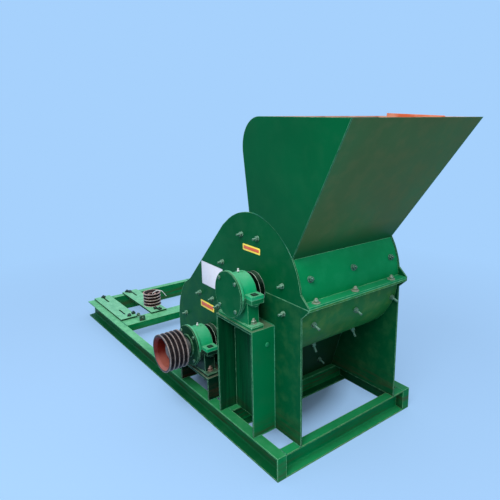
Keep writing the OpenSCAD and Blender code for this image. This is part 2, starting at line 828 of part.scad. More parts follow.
put_in_place() near_long_channel();
put_in_place() far_long_channel();
put_in_place() front_cross_channel();
put_in_place() rear_cross_channel();
put_in_place() motor_cross_beam();
put_in_place() body_rear_beam();
put_in_place() body_front_beam();
put_in_place() near_motor_rail();
put_in_place() far_motor_rail();
put_in_place() motor_pulley();
put_in_place() near_lower_side_plate();
put_in_place() far_lower_side_plate();
put_in_place() near_upper_side_plate();
put_in_place() far_upper_side_plate();
put_in_place() front_upper_shell();
put_in_place() front_lower_shell();
put_in_place() rear_upper_shell();
put_in_place() rear_lower_shell();
put_in_place() hopper_near_wall();
put_in_place() hopper_far_wall();
put_in_place() hopper_front_wall();
put_in_place() hopper_back_wall();
put_in_place() upper_near_pedestal();
put_in_place() upper_far_pedestal();
put_in_place() lower_near_pedestal();
put_in_place() lower_far_pedestal();
put_in_place() upper_near_bearing_base();
put_in_place() upper_far_bearing_base();
put_in_place() lower_near_bearing_base();
put_in_place() lower_far_bearing_base();
put_in_place() upper_near_bearing_cap();
put_in_place() upper_far_bearing_cap();
put_in_place() lower_near_bearing_cap();
put_in_place() lower_far_bearing_cap();
put_in_place() bearing_covers();
put_in_place() shaft_seals();
put_in_place() upper_shaft();
put_in_place() upper_discs();
put_in_place() upper_hammers();
put_in_place() upper_pulley();
put_in_place() lower_shaft();
put_in_place() lower_discs();
put_in_place() lower_hammers();
put_in_place() lower_near_pulley();
put_in_place() lower_far_pulley();
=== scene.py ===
"""Looks of a two-rotor sand making crusher on a channel skid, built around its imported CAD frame.

The welded skid, casing, hopper, bearings, pulleys and rotors come from the frame and only get their
finishes here. What is modelled here is the small hardware that a fitter adds last: liner studs,
bolts, grease nipples, weld beads, blank sheets, and the loose bits left on the motor rails.
"""

import logging
import math
from collections.abc import Callable, Sequence
from dataclasses import dataclass, field, replace
from enum import Enum
from typing import Any

import bmesh
import bpy
from mathutils import Euler, Matrix, Vector


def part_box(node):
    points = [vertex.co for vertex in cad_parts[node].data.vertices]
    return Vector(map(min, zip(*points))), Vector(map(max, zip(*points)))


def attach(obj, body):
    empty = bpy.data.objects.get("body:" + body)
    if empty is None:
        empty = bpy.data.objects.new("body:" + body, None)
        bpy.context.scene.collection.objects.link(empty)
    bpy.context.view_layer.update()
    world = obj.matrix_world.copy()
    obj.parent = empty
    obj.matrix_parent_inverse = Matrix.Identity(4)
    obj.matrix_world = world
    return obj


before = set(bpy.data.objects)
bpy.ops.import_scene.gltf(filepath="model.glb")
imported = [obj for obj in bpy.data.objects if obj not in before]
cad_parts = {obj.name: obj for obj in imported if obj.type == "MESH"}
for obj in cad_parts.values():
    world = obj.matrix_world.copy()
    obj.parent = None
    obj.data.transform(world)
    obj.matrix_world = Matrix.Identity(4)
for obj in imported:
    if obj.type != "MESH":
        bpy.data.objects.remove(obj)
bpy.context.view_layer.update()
log = logging.getLogger("crusher")
MM = 0.001
# How far hardware bites into what it stands on, and how far a bead's axis stands off its plates
BITE = 1 * MM
# Each nut in a row is turned by this much more, in degrees, so that no two stand alike
GOLDEN_TURN = 137.5
# The wave texture turns through this many radians in a metre, at a scale of 1
WAVES_PER_METRE = 20.0
UP = (0, 0, 1)
LEVELS = ("upper", "lower")

Tree = bpy.types.NodeTree
Node = bpy.types.Node
Socket = bpy.types.NodeSocket
Piece = bpy.types.Object
Pair = tuple[float, float]


class Body(Enum):
    """The bodies that pieces ride on."""

    MACHINE = "machine"
    UPPER = "upper_rotor"
    LOWER = "lower_rotor"


class Slot(Enum):
    """The record's material slots."""

    FRAME = "frame_paint"
    BODY = "body_paint"
    HOPPER = "hopper_paint"
    BEARING = "bearing_paint"
    MOTOR_PULLEY = "motor_pulley_iron"
    SHAFT = "shaft_steel"


class Side(Enum):
    """The two sides of the machine, as the sign of Y."""

    NEAR = -1
    FAR = 1

    @property
    def word(self) -> str:
        """Give the side as it is written in the names of pieces."""
        return self.name.lower()


class Head(Enum):
    """Shapes of a bolt's head or nut, as the number of its flats."""

    HEX = 6
    SQUARE = 4


class Pick(Enum):
    """What is selected in edit mode, as a mesh names it."""

    VERT = "verts"
    EDGE = "edges"
    FACE = "faces"


# ---------- nodes and colours ----------


def linear(colour: str) -> tuple[float, float, float, float]:
    """Turn an sRGB hex colour into the linear colour that shaders take.

    Args:
        colour: Six hex digits.

    Returns:
        Red, green, blue and alpha, from 0 to 1.
    """
    parts = [int(colour[i:i + 2], 16) / 255 for i in (0, 2, 4)]
    red, green, blue = (c / 12.92 if c <= 0.04045 else ((c + 0.055) / 1.055) ** 2.4 for c in parts)
    return red, green, blue, 1.0


def add_node(tree: Tree, kind: str, inputs: dict[str | int, Any] | None = None, **settings: Any) -> Node:
    """Add a node, with its settings, its values and its links.

    Args:
        tree: The node tree that gets it.
        kind: The node's type.
        inputs: Values, sockets, or nodes for their first sockets, by the input's name or number.
        **settings: Properties of the node itself.

    Returns:
        The new node.
    """
    node = tree.nodes.new(kind)
    for name, value in settings.items():
        setattr(node, name, value)
    for key, value in (inputs or {}).items():
        if isinstance(value, Node):
            value = value.outputs[0]
        if isinstance(value, Socket):
            tree.links.new(value, node.inputs[key])
        else:
            node.inputs[key].default_value = value
    return node


@dataclass(frozen=True)
class Spots:
    """A pattern of soft-edged spots.

    Attributes:
        size_mm: Size of a spot in millimetres.
        low: Noise level at which a spot begins.
        high: Noise level at which it is full.
        detail: Octaves of finer noise in its edge.
        squeeze: Scale along X, Y and Z; where it is small, the spots are drawn out.
        least: The mask between the spots.
        most: The mask within them.
    """

    size_mm: float
    low: float
    high: float
    detail: float = 3.0
    squeeze: tuple[float, float, float] | None = None
    least: float = 0.0
    most: float = 1.0


class Surface:
    """The surface that a finish is laid on, coat by coat.

    Attributes:
        tree: The finish's node tree.
        shader: Its shader.
        place: Place on the piece in metres.
        normal: The way that the surface looks.
        at: That place, by its axes.
        facing: That way, by its axes.
        colour: The colour of the coats so far.
    """

    def __init__(self, tree: Tree) -> None:
        """Take a new material in hand.

        Args:
            tree: Its node tree.
        """
        self.tree = tree
        self.shader = tree.nodes["Principled BSDF"]
        coords = add_node(tree, "ShaderNodeTexCoord").outputs
        self.place = coords["Object"]
        self.normal = coords["Normal"]
        self.at = add_node(tree, "ShaderNodeSeparateXYZ", {"Vector": self.place}).outputs
        self.facing = add_node(tree, "ShaderNodeSeparateXYZ", {"Vector": self.normal}).outputs
        self.colour: str | Socket = ""

    def spots(self, pattern: Spots) -> Node:
        """Make a mask of soft-edged spots.

        Args:
            pattern: Their pattern.

        Returns:
            The mask, from its least to its most.
        """
        place = self.place
        if pattern.squeeze:
            place = add_node(self.tree, "ShaderNodeMapping", {"Vector": place, "Scale": pattern.squeeze})
        noise = add_node(self.tree, "ShaderNodeTexNoise", {
            "Vector": place, "Scale": 1 / (pattern.size_mm * MM), "Detail": pattern.detail, "Roughness": 0.6})
        return add_node(self.tree, "ShaderNodeMapRange", {
            "Value": noise, "From Min": pattern.low, "From Max": pattern.high, "To Min": pattern.least,
            "To Max": pattern.most})

    def worn_edges(self, width_mm: float) -> Node:
        """Make a mask of a piece's outer edges, where handling wears a coat through and a painted highlight
        lines them.

        Args:
            width_mm: How far the wear reaches from an edge, in millimetres.

        Returns:
            The mask, 1 on the edge itself.
        """
        rounded = add_node(self.tree, "ShaderNodeBevel", {"Radius": width_mm * MM}, samples=6)
        flat = add_node(self.tree, "ShaderNodeNewGeometry").outputs["Normal"]
        likeness = add_node(self.tree, "ShaderNodeVectorMath", {0: rounded, 1: flat}, operation="DOT_PRODUCT")
        return add_node(self.tree, "ShaderNodeMapRange", {"Value": likeness.outputs["Value"],
                                                          "From Min": 0.985, "From Max": 0.86})

    def mix(self, under: str | Socket, over: str | Socket, *masks: Any) -> Socket:
        """Lay one colour over another where all of its masks let it.

        Args:
            under: The lower colour, or its hex digits.
            over: The upper colour, or its hex digits.
            *masks: Masks or values from 0 to 1, which hold together.

        Returns:
            The colour of both.
        """
        share = masks[0]
        for mask in masks[1:]:
            share = add_node(self.tree, "ShaderNodeMath", {0: share, 1: mask}, operation="MULTIPLY")
        lower, upper = (linear(colour) if isinstance(colour, str) else colour for colour in (under, over))
        return add_node(self.tree, "ShaderNodeMix", {0: share, 6: lower, 7: upper},
                        data_type="RGBA").outputs[2]

    def add_coat(self, over: str | Socket, *masks: Any) -> None:
        """Lay one more coat over the colour so far, where all of its masks let it."""
        self.colour = self.mix(self.colour, over, *masks)

    def close(self, patches: Node, roughness: Pair, plain: dict[str, float]) -> None:
        """Give the shader its colour, its roughness and its plain values.

        Args:
            patches: Mask that the roughness follows.
            roughness: Roughness where that mask is 0, and where it is 1.
            plain: Values that are the same all over, by the shader's inputs.
        """
        rough = add_node(self.tree, "ShaderNodeMapRange", {"Value": patches, "To Min": roughness[0],
                                                           "To Max": roughness[1]})
        self.tree.links.new(self.colour, self.shader.inputs["Base Color"])
        self.tree.links.new(rough.outputs["Result"], self.shader.inputs["Roughness"])
        for name, value in plain.items():
            self.shader.inputs[name].default_value = value

    def bump(self, pattern: float | Socket, depth_mm: float, strength: float) -> None:
        """Give the surface a fine relief.

        Args:
            pattern: Size of a bump in millimetres, or a pattern for the relief.
            depth_mm: Height of the relief in millimetres.
            strength: How strongly it shows, from 0 to 1.
        """
        if not isinstance(pattern, Socket):
            pattern = add_node(self.tree, "ShaderNodeTexNoise", {"Vector": self.place, "Detail": 4.0,
                                                                 "Scale": 1 / (pattern * MM)})
        raised = add_node(self.tree, "ShaderNodeBump", {"Height": pattern, "Distance": depth_mm * MM,
                                                        "Strength": strength})
        self.tree.links.new(raised.outputs["Normal"], self.shader.inputs["Normal"])


# ---------- finishes ----------


# Enamel: clouds of the spray gun, runs, blotches, dust and painted sky light in patches, chipped edges, rust,
# and streaks of painted shade
CLOUDS = Spots(420, 0.3, 0.7, detail=1.0)
RUNS = Spots(40, 0.5, 0.75, detail=2.0, squeeze=(1.0, 1.0, 0.06))
BLOTCHES = Spots(70, 0.45, 0.7)
DUST_AND_SKYLIGHT_PATCHES = Spots(45, 0.3, 0.7, least=0.55)
CHIPS = Spots(28, 0.35, 0.6, least=0.35)
RUST_LINES = Spots(18, 0.45, 0.6, squeeze=(0.06, 0.06, 1.0))
RECESS_SHADE_STREAKS = Spots(30, 0.35, 0.65, squeeze=(1.0, 1.0, 0.05), least=0.55, most=0.85)
# Primer: faded clouds and rusty runs
FADED_CLOUDS = Spots(160, 0.3, 0.7)
RUSTY_RUNS = Spots(30, 0.55, 0.7, squeeze=(1.0, 1.0, 0.1))
# Iron and steel: grease, lands rubbed by belts, mottled primer, rust film, stained bolts, weld crests
GREASE = Spots(14, 0.4, 0.65)
RUBBED_LANDS = Spots(30, 0.3, 0.6, least=0.45, most=0.95)
MOTTLES = Spots(18, 0.35, 0.6)
RUST_FILM = Spots(20, 0.35, 0.65)
STAINS = Spots(12, 0.42, 0.6)
CRESTS = Spots(9, 0.4, 0.65)
# Vinyl: the bloom that the sun leaves
BLOOM = Spots(35, 0.35, 0.7)


@dataclass(frozen=True)
class Finish:
    """A finish, made into one material that every piece with it shares."""

    name: str

    def material(self) -> bpy.types.Material:
        """Give the finish's material, made at its first use.

        Returns:
            The material, named for the finish.
        """
        material = bpy.data.materials.get(self.name)
        if not material:
            material = bpy.data.materials.new(self.name)
            material.use_nodes = True
            self.lay(Surface(material.node_tree))
        return material

    def lay(self, on: Surface) -> None:
        """Lay the finish on a surface; each kind of finish has its own way."""
        raise NotImplementedError


@dataclass(frozen=True)
class Enamel(Finish):
    """Alkyd machinery enamel, sprayed and brushed on welded steel plate.

    It gives a half-gloss green with soft cloudy coats and faint runs, pale lines where edges are worn and
    catch a painted highlight, dust and painted sky light on what faces up, rust where the skid stands in the
    yard, and where asked a darkening towards the floor and painted shade on standing faces.

    Attributes:
        coat: Colour of a full coat.
        thin: Colour where the coat is thin or older.
        dust: Colour of yard dust on the coat; on faces that look up it also stands for painted sky light.
        edge: Colour of a rubbed edge, which also stands for the highlight along it.
        dusty: How much dust and painted sky light lie on faces that look up, from 0 to 1.
        soiled: How much dust clings elsewhere, from 0 to 1.
        rusty: How much rust comes through near the ground, from 0 to 1.
        rust_height: Height over the floor to which the rust reaches, in millimetres.
        edge_wear: How strongly the edges are rubbed pale and lit with a painted highlight, from 0 to 1.
        gloss: Roughness of the clean coat.
        sheen: Strength of its mirror light; 0.5 is new enamel.
        dust_above: Height over the floor under which neither dust nor painted sky light lies, in millimetres,
            or none.
        dust_behind: X in millimetres behind which the dust and painted sky light lie thickest, or none.
        grimed_below: Height over the floor under which the coat is darkened, in millimetres, or none.
        grime: How strongly it is darkened there, from 0 to 1.
        grime_colour: The colour that it darkens towards.
        clean_front: Whether the faces that look forward are left out of that darkening.
        dark_sides: Whether the standing faces get painted shade, as the sides and slot walls of a rail lie in
            shade.
        sheltered: From and to which X, in metres, streaks of painted shade darken the standing faces, as in
            the recess between a pedestal's cheeks, or none.
        bare_side: Direction in which bare primer faces look, or none.
    """

    coat: str
    thin: str
    dust: str = "8fc7a2"
    edge: str = "8ed2a2"
    dusty: float = 0.3
    soiled: float = 0.1
    rusty: float = 0.0
    rust_height: float = 230.0
    edge_wear: float = 0.75
    gloss: float = 0.36
    sheen: float = 0.04
    dust_above: float | None = None
    dust_behind: float | None = None
    grimed_below: float | None = None
    grime: float = 0.85
    grime_colour: str = "0d2a1c"
    clean_front: bool = False
    dark_sides: bool = False
    sheltered: Pair | None = None
    bare_side: tuple[float, float, float] | None = None

    def lay(self, on: Surface) -> None:
        """Lay coats, dust and painted sky light, rust, darkening, painted shade, worn edges with painted
        highlights, and primer.

        Args:
            on: The surface.
        """
        blotches = on.spots(BLOTCHES)
        on.colour = on.mix(self.thin, self.coat, on.spots(CLOUDS))
        on.add_coat(self.thin, on.spots(RUNS), 0.2)
        on.add_coat(self.dust, blotches, self.soiled)
        self.settle_dust(on)
        self.rust(on)
        self.smear_grime(on)
        self.streak(on)
        # Pale edges: paint worn through, and a painted highlight where sky light would glint on a rounded
        # edge
        on.add_coat(self.edge, on.worn_edges(5.0), on.spots(CHIPS), self.edge_wear)
        self.leave_primer(on)
        # Yard-aged enamel has chalked, so its skin mirrors less than new enamel does
        on.close(blotches, (self.gloss, self.gloss + 0.16), {"IOR": 1.5, "Specular IOR Level": self.sheen})
        # Orange peel of sprayed enamel is 3 mm across; drawn 9 mm across so that it shows
        on.bump(9, 0.4, 0.08)

    def settle_dust(self, on: Surface) -> None:
        """Let dust settle on the faces that look up, with painted sky light that lightens those tops.

        Args:
            on: The surface.
        """
        # Dust and painted sky light: faces that look up are laid over with the pale dust colour, which
        # brightens the tops as sky light would
        up = add_node(on.tree, "ShaderNodeMapRange", {"Value": on.facing["Z"], "From Min": 0.45,
                                                      "From Max": 0.95})
        masks = [up, on.spots(DUST_AND_SKYLIGHT_PATCHES), self.dusty]
        if self.dust_above is not None:
            masks.append(add_node(on.tree, "ShaderNodeMath", {0: on.at["Z"], 1: self.dust_above * MM},
                                  operation="GREATER_THAN"))
        if self.dust_behind is not None:
            line = self.dust_behind * MM
            masks.append(add_node(on.tree, "ShaderNodeMapRange", {
                "Value": on.at["X"], "From Min": line + 0.4, "From Max": line, "To Min": 0.14}))
        on.add_coat(self.dust, *masks)

    def rust(self, on: Surface) -> None:
        """Let rust lines through the coat on standing faces near the floor.

        Args:
            on: The surface.
        """
        if self.rusty:
            top = self.rust_height * MM
            low = add_node(on.tree, "ShaderNodeMapRange", {"Value": on.at["Z"], "From Min": top,
                                                           "From Max": top * 0.7})
            standing = add_node(on.tree, "ShaderNodeMapRange", {"Value": on.facing["Z"], "From Min": 0.5,
                                                                "From Max": 0.1})
            on.add_coat("4a2f22", on.spots(RUST_LINES), low, standing, self.rusty)

    def smear_grime(self, on: Surface) -> None:
        """Darken the coat under its height, and paint shade over the standing faces, as in a slot.

        Args:
            on: The surface.
        """
        # The coat goes darker towards the floor, except, where asked, on faces that look forward
        if self.grimed_below is not None:
            foot = self.grimed_below * MM
            masks = [add_node(on.tree, "ShaderNodeMapRange", {
                "Value": on.at["Z"], "From Min": foot + 0.06, "From Max": foot - 0.04, "To Max": self.grime})]
            if self.clean_front:
                masks.append(add_node(on.tree, "ShaderNodeMapRange", {
                    "Value": on.facing["X"], "From Min": 0.6, "From Max": 0.3}))
            on.add_coat(self.grime_colour, *masks)
        if self.dark_sides:
            # Painted shade: standing faces go near-black green, for the shade along a rail's sides and in its
            # slots
            on.add_coat("0a2015", add_node(on.tree, "ShaderNodeMapRange", {
                "Value": on.facing["Z"], "From Min": 0.5, "From Max": 0.2, "To Max": 0.85}))

    def streak(self, on: Surface) -> None:
        """Streak painted shade down the standing faces between the given X, as in the recess between a
        pedestal's cheeks.

        Args:
            on: The surface.
        """
        if self.sheltered:
            back, front = self.sheltered
            behind = add_node(on.tree, "ShaderNodeMath", {0: on.at["X"], 1: back}, operation="GREATER_THAN")
            before = add_node(on.tree, "ShaderNodeMath", {0: on.at["X"], 1: front}, operation="LESS_THAN")
            standing = add_node(on.tree, "ShaderNodeMapRange", {"Value": on.facing["Z"], "From Min": 0.5,
                                                                "From Max": 0.2})
            # Painted shade: near-black streaks on the standing faces in the recess
            on.add_coat("02170d", behind, before, standing, on.spots(RECESS_SHADE_STREAKS))

    def leave_primer(self, on: Surface) -> None:
        """Leave the faces that look one way in their red oxide primer, faded and dusty.

        Args:
            on: The surface.
        """
        if self.bare_side:
            toward = add_node(on.tree, "ShaderNodeVectorMath", {0: on.normal, 1: self.bare_side},
                              operation="DOT_PRODUCT").outputs["Value"]
            inside = add_node(on.tree, "ShaderNodeMapRange", {"Value": toward, "From Min": 0.5,
                                                              "From Max": 0.7})
            oxide = on.mix("bd7c60", "d8b8a6", on.spots(FADED_CLOUDS))
            on.add_coat(on.mix(oxide, "8a4a30", on.spots(RUSTY_RUNS), 0.4), inside)


@dataclass(frozen=True)
class CastIron(Finish):
    """Grey iron casting with turned lands, for pulleys.

    It gives dark, slightly greasy iron, with pale rubbed lands round the rim and red primer in the dish.

    Attributes:
        iron: Colour of the greasy iron.
        land: Colour of the lands, rubbed by belts.
        axis: X and Z of the pulley's axis, or X and Y where it lies flat, in metres.
        flat: Whether the pulley lies flat.
        rim_r: Its radius in millimetres.
        dish_r: Radius of the primed dish behind its mouth, in millimetres, or 0.
        face_y: Place of the face that the dish opens to, in metres.
        primed: Colour of the primer in the dish.
        faded: Colour of the primer towards the bottom of the dish.
        dust: Colour of the dust on level faces.
        dusty: How much of it there is, from 0 to 1.
    """

    iron: str = "1c1b1d"
    land: str = "a5958d"
    axis: Pair = (0.0, 0.0)
    flat: bool = False
    rim_r: float = 105.0
    dish_r: float = 0.0
    face_y: float = 0.0
    primed: str = "5c0f08"
    faded: str = "ab6354"
    dust: str = "cfa69a"
    dusty: float = 0.0

    def lay(self, on: Surface) -> None:
        """Lay iron, primer, lands and dust.

        Args:
            on: The surface.
        """
        first, second = self.axis
        centre = (-first, -second, 0) if self.flat else (-first, 0, -second)
        about = add_node(on.tree, "ShaderNodeMapping", {"Vector": on.place, "Location": centre,
                                                        "Scale": (1, 1, 0) if self.flat else (1, 0, 1)})
        reach = add_node(on.tree, "ShaderNodeVectorMath", {0: about}, operation="LENGTH").outputs["Value"]
        grease = on.spots(GREASE)
        on.colour = on.mix(self.iron, "4a3a36", grease, 0.5)
        if self.dish_r:
            self.prime_dish(on, reach)
        on_land = add_node(on.tree, "ShaderNodeMapRange", {"Value": reach, "From Min": (self.rim_r - 4) * MM,
                                                           "From Max": (self.rim_r - 0.5) * MM})
        rubbed = on.spots(RUBBED_LANDS)
        on.add_coat(self.land, on_land, rubbed)
        if self.dusty:
            level = add_node(on.tree, "ShaderNodeMapRange", {"Value": on.facing["Z"], "From Min": 0.975,
                                                             "From Max": 0.995})
            on.add_coat(self.dust, level, rubbed, self.dusty)
        on.close(grease, (0.42, 0.62), {"Metallic": 0.25, "Specular IOR Level": 0.25})
        # The skin of a sand casting is rough at 2 mm; drawn 5 mm across so that it shows
        on.bump(5, 0.6, 0.25)

    def prime_dish(self, on: Surface, reach: Socket) -> None:
        """Prime the dish, paler towards the bottom.

        Args:
            on: The surface.
            reach: Distance from the axis.
        """
        # The dish is a cylinder with a mouth that flares out by as much as it is deep
        behind = add_node(on.tree, "ShaderNodeMath", {0: on.at["Y"], 1: self.face_y}, operation="SUBTRACT")
        depth = add_node(on.tree, "ShaderNodeMath", {0: behind}, operation="ABSOLUTE")
        mouth = add_node(on.tree, "ShaderNodeMapRange", {
            "Value": depth, "From Max": 14 * MM, "To Min": (self.dish_r + 15) * MM,
            "To Max": (self.dish_r + 1) * MM})
        inside = add_node(on.tree, "ShaderNodeMath", {0: reach, 1: mouth}, operation="LESS_THAN")
        middle, radius = self.axis[1], self.dish_r * MM
        # The primer is paler towards the bottom of the dish
        low = add_node(on.tree, "ShaderNodeMapRange", {"Value": on.at["Z"], "From Min": middle - 0.3 * radius,
                                                       "From Max": middle - 1.05 * radius})
        primed = on.mix(self.primed, "6d2a1e", on.spots(MOTTLES), 0.4)
        on.add_coat(on.mix(primed, self.faded, low, 0.85), inside)


@dataclass(frozen=True)
class TurnedSteel(Finish):
    """Machined carbon steel that has stood in a yard: shafts, pins, hammers and threads.

    It gives a grey metal with fine turning lines, dulled by a brown film.

    Attributes:
        steel: Colour of the metal.
        film: Colour of the rust film.
        filmed: How much of it has filmed over, from 0 to 1.
        metal: How metallic it still looks, from 0 to 1.
    """

    steel: str = "8c8f8c"
    film: str = "6b5140"
    filmed: float = 0.5
    metal: float = 0.8

    def lay(self, on: Surface) -> None:
        """Lay steel, film and turning lines.

        Args:
            on: The surface.
        """
        film = on.spots(RUST_FILM)
        on.colour = on.mix(self.steel, self.film, film, self.filmed)
        on.close(film, (0.3, 0.6), {"Metallic": self.metal})
        # Turning lines are 0.3 mm apart; drawn 3 mm apart so that they show
        pitch = 3 * MM
        lines = add_node(on.tree, "ShaderNodeTexWave", {
            "Vector": on.place, "Scale": math.tau / (WAVES_PER_METRE * pitch), "Distortion": 0.4},
            bands_direction="Y")
        on.bump(lines.outputs["Fac"], 0.1, 0.3)


@dataclass(frozen=True)
class PaintedHardware(Finish):
    """Zinc-plated bolts and nuts, painted over with the machine and rubbed by spanners.

    They give green flats with pale metal corners and tops, the tops lightened as painted sky light, and brown
    stain round the thread.

    Attributes:
        paint: Colour of the paint over the flats.
        metal: Colour of the rubbed corners, also laid on faces that look up as painted sky light.
        stain: Colour of the stain.
        stained: How much of it is stained, from 0 to 1.
    """

    paint: str = "17583a"
    metal: str = "8fc0a4"
    stain: str = "6a4a3a"
    stained: float = 0.3

    def lay(self, on: Surface) -> None:
        """Lay paint, stain, painted sky light on the tops, and rubbed corners.

        Args:
            on: The surface.
        """
        patches = on.spots(STAINS)
        on.colour = on.mix(self.paint, self.stain, patches, self.stained)
        # Painted sky light: faces that look up take up to half the pale metal colour, so that the tops read
        # lighter
        on.add_coat(self.metal, add_node(on.tree, "ShaderNodeMapRange", {
            "Value": on.facing["Z"], "From Min": 0.1, "From Max": 0.8, "To Max": 0.55}))
        on.add_coat(self.metal, on.worn_edges(2.0), 0.8)
        on.close(patches, (0.35, 0.6), {"Metallic": 0.2})
        on.bump(4, 0.3, 0.2)


@dataclass(frozen=True)
class Vinyl(Finish):
    """Printed vinyl sheet, left blank: a plain field with a border, chalky from the sun.

    Attributes:
        low: Lowest corner of the plain field, X and Z in metres.
        high: Highest corner of the plain field, X and Z in metres.
        field_colour: Colour of the middle.
        border_colour: Colour of the border.
    """

    low: Pair
    high: Pair
    field_colour: str = "e2dfe6"
    border_colour: str = "cfd2da"

    def lay(self, on: Surface) -> None:
        """Lay the field, the border and the chalky bloom.

        Args:
            on: The surface.
        """
        inside = [add_node(on.tree, "ShaderNodeMath", {0: on.at[axis], 1: corner[number]}, operation=test)
                  for number, axis in enumerate("XZ")
                  for corner, test in ((self.low, "GREATER_THAN"), (self.high, "LESS_THAN"))]
        bloom = on.spots(BLOOM)
        on.colour = on.mix(self.border_colour, self.field_colour, *inside)
        on.add_coat("c9b9b0", bloom, 0.12)
        on.close(bloom, (0.35, 0.6), {"IOR": 1.53})
        on.bump(30, 0.3, 0.15)


@dataclass(frozen=True)
class WeldMetal(Finish):
    """Stick weld, brushed and painted over, so that its ripples catch the light.

    Attributes:
        paint: Colour of the paint on it.
        spatter: Colour where slag and metal show.
    """

    paint: str = "0f6f48"
    spatter: str = "4f9570"

    def lay(self, on: Surface) -> None:
        """Lay paint and bright ripples.

        Args:
            on: The surface.
        """
        crests = on.spots(CRESTS)
        on.colour = on.mix(self.paint, self.spatter, crests, 0.7)
        on.close(crests, (0.35, 0.55), {})
        on.bump(5, 1.0, 0.5)


SKID_ENAMEL = Enamel("skid_enamel", coat="00783f", thin="006536", dust="7fd2a0", edge="8fcf9c", dusty=0.85,
                     soiled=0.05, rusty=0.5, rust_height=105.0, edge_wear=0.8, sheen=0.06, dust_above=110.0,
                     dust_behind=-500.0, grimed_below=50.0, grime=0.6, clean_front=True)
FRONT_SKID_ENAMEL = Enamel("front_channel_enamel", coat="008048", thin="006c3b", dust="57a878", edge="a3b183",
                           dusty=0.15, soiled=0.04, rusty=0.25, rust_height=60.0, edge_wear=0.8, sheen=0.06)
RAIL_ENAMEL = Enamel("motor_rail_enamel", coat="1f8f5a", thin="167a4c", dust="8ed6ac", dusty=0.85,
                     soiled=0.15, edge_wear=0.6, sheen=0.12, dark_sides=True)
CASING_ENAMEL = Enamel("casing_enamel", coat="00562e", thin="004c28", dusty=0.4, soiled=0.02, edge_wear=0.6)
LOWER_CASING_ENAMEL = Enamel("lower_casing_enamel", coat="00502c", thin="034827", dust="4a7a48", dusty=0.4,
                             soiled=0.18, rusty=0.3, rust_height=260.0, sheen=0.05)
SHELL_ENAMEL = Enamel("front_shell_enamel", coat="00874d", thin="007844", dust="35b07c", sheen=0.06)
# Painted shadow: under 490 mm the lower shell is darkened towards near-black green, for the deep shade under
# the casing over the throat plate
LOWER_SHELL_ENAMEL = Enamel("lower_shell_enamel", coat="107338", thin="27662f", dust="728a44", soiled=0.3,
                            sheen=0.06, grimed_below=490.0)
PEDESTAL_ENAMEL = Enamel("pedestal_enamel", coat="007542", thin="006639", dust="6c7660", dusty=0.8,
                         soiled=0.02, rusty=0.35, sheen=0.08)
# Painted shade: the lower pedestals wear a near-black copy of the pedestal green, for the deep shade they
# stand in
SHADED_LOW_PEDESTAL_ENAMEL = Enamel("low_pedestal_enamel", coat="022a1b", thin="052318", dust="6f6c5c", dusty=0.75,
                             rusty=0.5)
CAP_ENAMEL = Enamel("bearing_cap_enamel", coat="06ab70", thin="06965f", dust="a5dcc0", dusty=0.25,
                    soiled=0.05, gloss=0.3, sheen=0.3, edge_wear=0.65)
BASE_ENAMEL = Enamel("bearing_base_enamel", coat="057c47", thin="045a33", dust="7fcba0", dusty=0.75,
                     soiled=0.06, gloss=0.4, sheen=0.05)
# Painted shade: the lower bearing bases wear a near-black copy of the base green, for the shade they stand in
SHADED_LOW_BASE_ENAMEL = Enamel("low_bearing_base_enamel", coat="052c1e", thin="0c211a", dust="5f7561", dusty=0.6,
                         soiled=0.2, gloss=0.34, sheen=0.05, edge_wear=0.6)
COVER_ENAMEL = Enamel("bearing_cover_enamel", coat="00552e", thin="004727", soiled=0.04, gloss=0.5,
                      sheen=0.03, edge_wear=0.7, grimed_below=550.0, grime=0.65)
# Painted shade and painted highlight: the seal disc is near-black for the shaded gap round the shaft, and its
# edge fully pale for the thin lit arc
SHADED_SEAL_ENAMEL = Enamel("shaft_seal_enamel", coat="06180f", thin="04100a", edge="d6ecd8", dusty=0.1, soiled=0.0,
                     sheen=0.05, edge_wear=1.0)
HOPPER_FAR_ENAMEL = Enamel("hopper_far_enamel", coat="00552e", thin="004b28", soiled=0.03, edge_wear=0.35,
                           bare_side=(0.0, -1.0, 0.0))
HOPPER_BACK_ENAMEL = replace(HOPPER_FAR_ENAMEL, name="hopper_back_enamel", bare_side=(1.0, 0.0, 0.0))
HOPPER_NEAR_ENAMEL = replace(HOPPER_FAR_ENAMEL, name="hopper_near_enamel", soiled=0.01,
                             bare_side=(0.0, 1.0, 0.0))
# Painted shade and reflection: the front wall looks down and forward, so its green enamel gets an olive coat
# for the ground it reflects and the shade it stands in; at its foot it is darkened to green
SHADED_HOPPER_FRONT_ENAMEL = Enamel("hopper_front_enamel", coat="41693a", thin="4f5f32", dust="75704a", dusty=0.2,
                             soiled=0.25, edge_wear=0.3, grimed_below=1105.0, grime=0.9,
                             grime_colour="07552c", bare_side=(-0.82, 0.0, 0.57))
OXIDE_STRIP = Enamel("red_oxide_strip", coat="cf6a42", thin="c25a38", dust="e0b59c", edge="e0c0b0",
                     dusty=0.5, soiled=0.4, edge_wear=0.5, sheen=0.12)
SHAFT_STEEL = TurnedSteel("turned_shaft_steel")
ROTOR_STEEL = TurnedSteel("rotor_plate_steel", "6f6a66", "5b4336", filmed=0.8, metal=0.6)
HAMMER_STEEL = TurnedSteel("hammer_steel", "77736f", "4f3d33", filmed=0.7, metal=0.7)
THREAD_STEEL = TurnedSteel("thread_steel", "a3b0a6", "6f7563", filmed=0.6, metal=0.55)
BINDING_WIRE = TurnedSteel("galvanised_wire", "eef6f2", "c9d6cd", filmed=0.3, metal=0.15)
STUD_PAINT = PaintedHardware("painted_studs")
PLUG_PAINT = PaintedHardware("painted_plugs", "0f8a55", "3fa878", "1f5a40", 0.3)
SHELL_BOLTS = PaintedHardware("shell_bolts", "0c4730", "79b394", "13291f", 0.7)
DARK_BOLTS = PaintedHardware("black_bolts", "12281f", "2f5443", "2b2320", 0.6)
